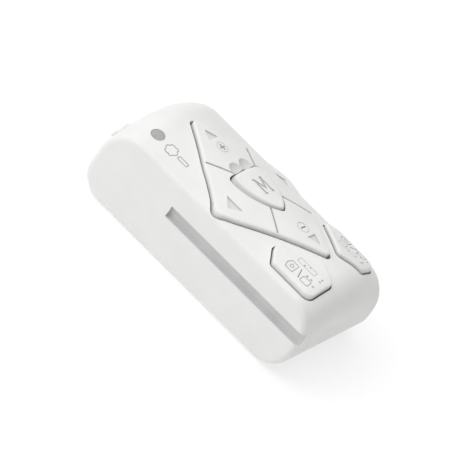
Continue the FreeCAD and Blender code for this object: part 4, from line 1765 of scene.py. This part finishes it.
@dataclass
class Studio:
    """Pale floor, white surround, a soft lamp and the camera of the photograph.

    Attributes:
        right: The camera's right axis.
        back: The axis from the object to the camera.
        frame: The width of the picture.
        start: The foot of the left side, from which the picture's middle is measured.
        centre_right: The picture's middle along right.
        centre_up: The picture's middle along the camera's up axis.
        distance: How far the camera stands off.
        toward: Where the surround is brightest.
        surround: How bright it is there.
        least: How bright it is everywhere.
        lamp_place: The place of the lamp.
        lamp_aim: What it faces.
        lamp_size: Its width.
        lamp_power: Its power in watts.
        floor_level: The level of the floor.
        floor_reach: Half its width in metres.
        floor_tints: The lightest and the darkest tint of the floor.
    """

    right: Triple = (0.5274, -0.6910, 0.4944)
    back: Triple = (-0.8059, -0.2224, 0.5487)
    frame: float = 96.83
    start: Triple = (-16.5, 0.0, 0.0)
    centre_right: float = 12.173
    centre_up: float = 9.8016
    distance: float = 300.0
    toward: Triple = (-0.13, 0.34, 0.93)
    surround: float = 1.48
    least: float = 0.06
    lamp_place: Triple = (-170.0, 150.0, 260.0)
    lamp_aim: Triple = (0.0, 0.0, 10.0)
    lamp_size: float = 110.0
    lamp_power: float = 0.1
    floor_level: float = -0.02
    floor_reach: float = 3.0
    floor_tints: tuple[Triple, Triple] = ((0.56, 0.56, 0.56), (0.54, 0.54, 0.54))

    def camera(self) -> None:
        """Places the camera at the photograph's angle."""
        right = Vector(self.right).normalized()
        back = Vector(self.back)
        back = (back - right * back.dot(right)).normalized()
        up = back.cross(right)
        lens = bpy.data.cameras.new("camera")
        lens.type = "ORTHO"
        lens.ortho_scale = self.frame * MM
        lens.clip_start = 0.001
        lens.clip_end = 10.0
        made = bpy.data.objects.new("camera", lens)
        place = right * self.centre_right + up * self.centre_up + back * self.distance
        place = (place + Vector(self.start)) * MM
        axes = Matrix((right, up, back)).transposed().to_4x4()
        made.matrix_world = Matrix.Translation(place) @ axes
        bpy.context.scene.collection.objects.link(made)
        bpy.context.scene.camera = made

    def lamp(self) -> None:
        """Hangs the soft round lamp."""
        light = bpy.data.lights.new("key_lamp", "AREA")
        light.shape = "DISK"
        light.size = self.lamp_size * MM
        light.energy = self.lamp_power
        made = bpy.data.objects.new("key_lamp", light)
        made.location = Vector(self.lamp_place) * MM
        aim = Vector(self.lamp_aim) * MM - made.location
        made.rotation_mode = "QUATERNION"
        made.rotation_quaternion = aim.to_track_quat("-Z", "Y")
        bpy.context.scene.collection.objects.link(made)

    def floor(self) -> None:
        """Lays the pale floor just below the part, clear when seen from underneath."""
        sheet = MaterialSheet("floor_white")
        tone = sheet.blend(sheet.ramp(sheet.noise(60.0, detail=2.0), 0.3, 0.7), *self.floor_tints)
        sheet.set(Base_Color=tone, Roughness=0.9, Specular_IOR_Level=0.1)
        sheet.set(Emission_Color=(1.0, 1.0, 1.0, 1.0), Emission_Strength=0.5)
        below = sheet.node("NewGeometry").outputs["Backfacing"]
        sheet.set(Alpha=sheet.maths("SUBTRACT", 1.0, below))
        ground = bmesh.new()
        bmesh.ops.create_grid(ground, x_segments=1, y_segments=1, size=self.floor_reach)
        bmesh.ops.translate(ground, vec=(0.0, 0.0, self.floor_level * MM), verts=ground.verts)
        made = mesh_object(ground, "floor")
        made.data.materials.append(sheet.material)

    def surround_light(self) -> None:
        """Lights the surround, brighter overhead than at the horizon."""
        world = bpy.data.worlds.new("surround")
        world.use_nodes = True
        bpy.context.scene.world = world
        sheet = NodeSheet(world.node_tree)
        place = sheet.node("TexCoord").outputs["Generated"]
        toward = Vector(self.toward).normalized()
        part = sheet.node("VectorMath", place, toward, operation="DOT_PRODUCT").outputs["Value"]
        strength = sheet.maths("MAXIMUM", sheet.maths("MULTIPLY", part, self.surround), self.least)
        back = world.node_tree.nodes["Background"]
        sheet.feed(back, Color=(1.0, 1.0, 1.0, 1.0), Strength=strength)

    def build(self) -> None:
        """Sets up the whole studio."""
        scene = bpy.context.scene
        scene.view_settings.view_transform = "Standard"
        scene.view_settings.look = "None"
        self.floor()
        self.surround_light()
        self.lamp()
        self.camera()
        log.info("studio and camera are up")


def main() -> None:
    """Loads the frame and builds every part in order."""
    logging.basicConfig(level=logging.INFO, format="%(message)s")
    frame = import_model()
    nodes = frame["nodes"]
    palette = Palette()
    PlainNodes().dress(nodes, palette)
    Housing().build(nodes, palette)
    DirectionPad().build(nodes, palette)
    ModeKey().build(nodes, palette)
    FunctionKey("left_function_key", Body.LEFT).build(nodes, palette)
    FunctionKey("right_function_key", Body.RIGHT).build(nodes, palette)
    CoverScrews().build(palette)
    for name in ("pad_switches", "mode_switch", "function_switches"):
        BoardSwitches(name).build(nodes, palette)
    socket = ChargeSocket()
    socket.build(nodes, palette)
    socket.contacts(palette)
    Studio().build()


if __name__ == "__main__":
    main()
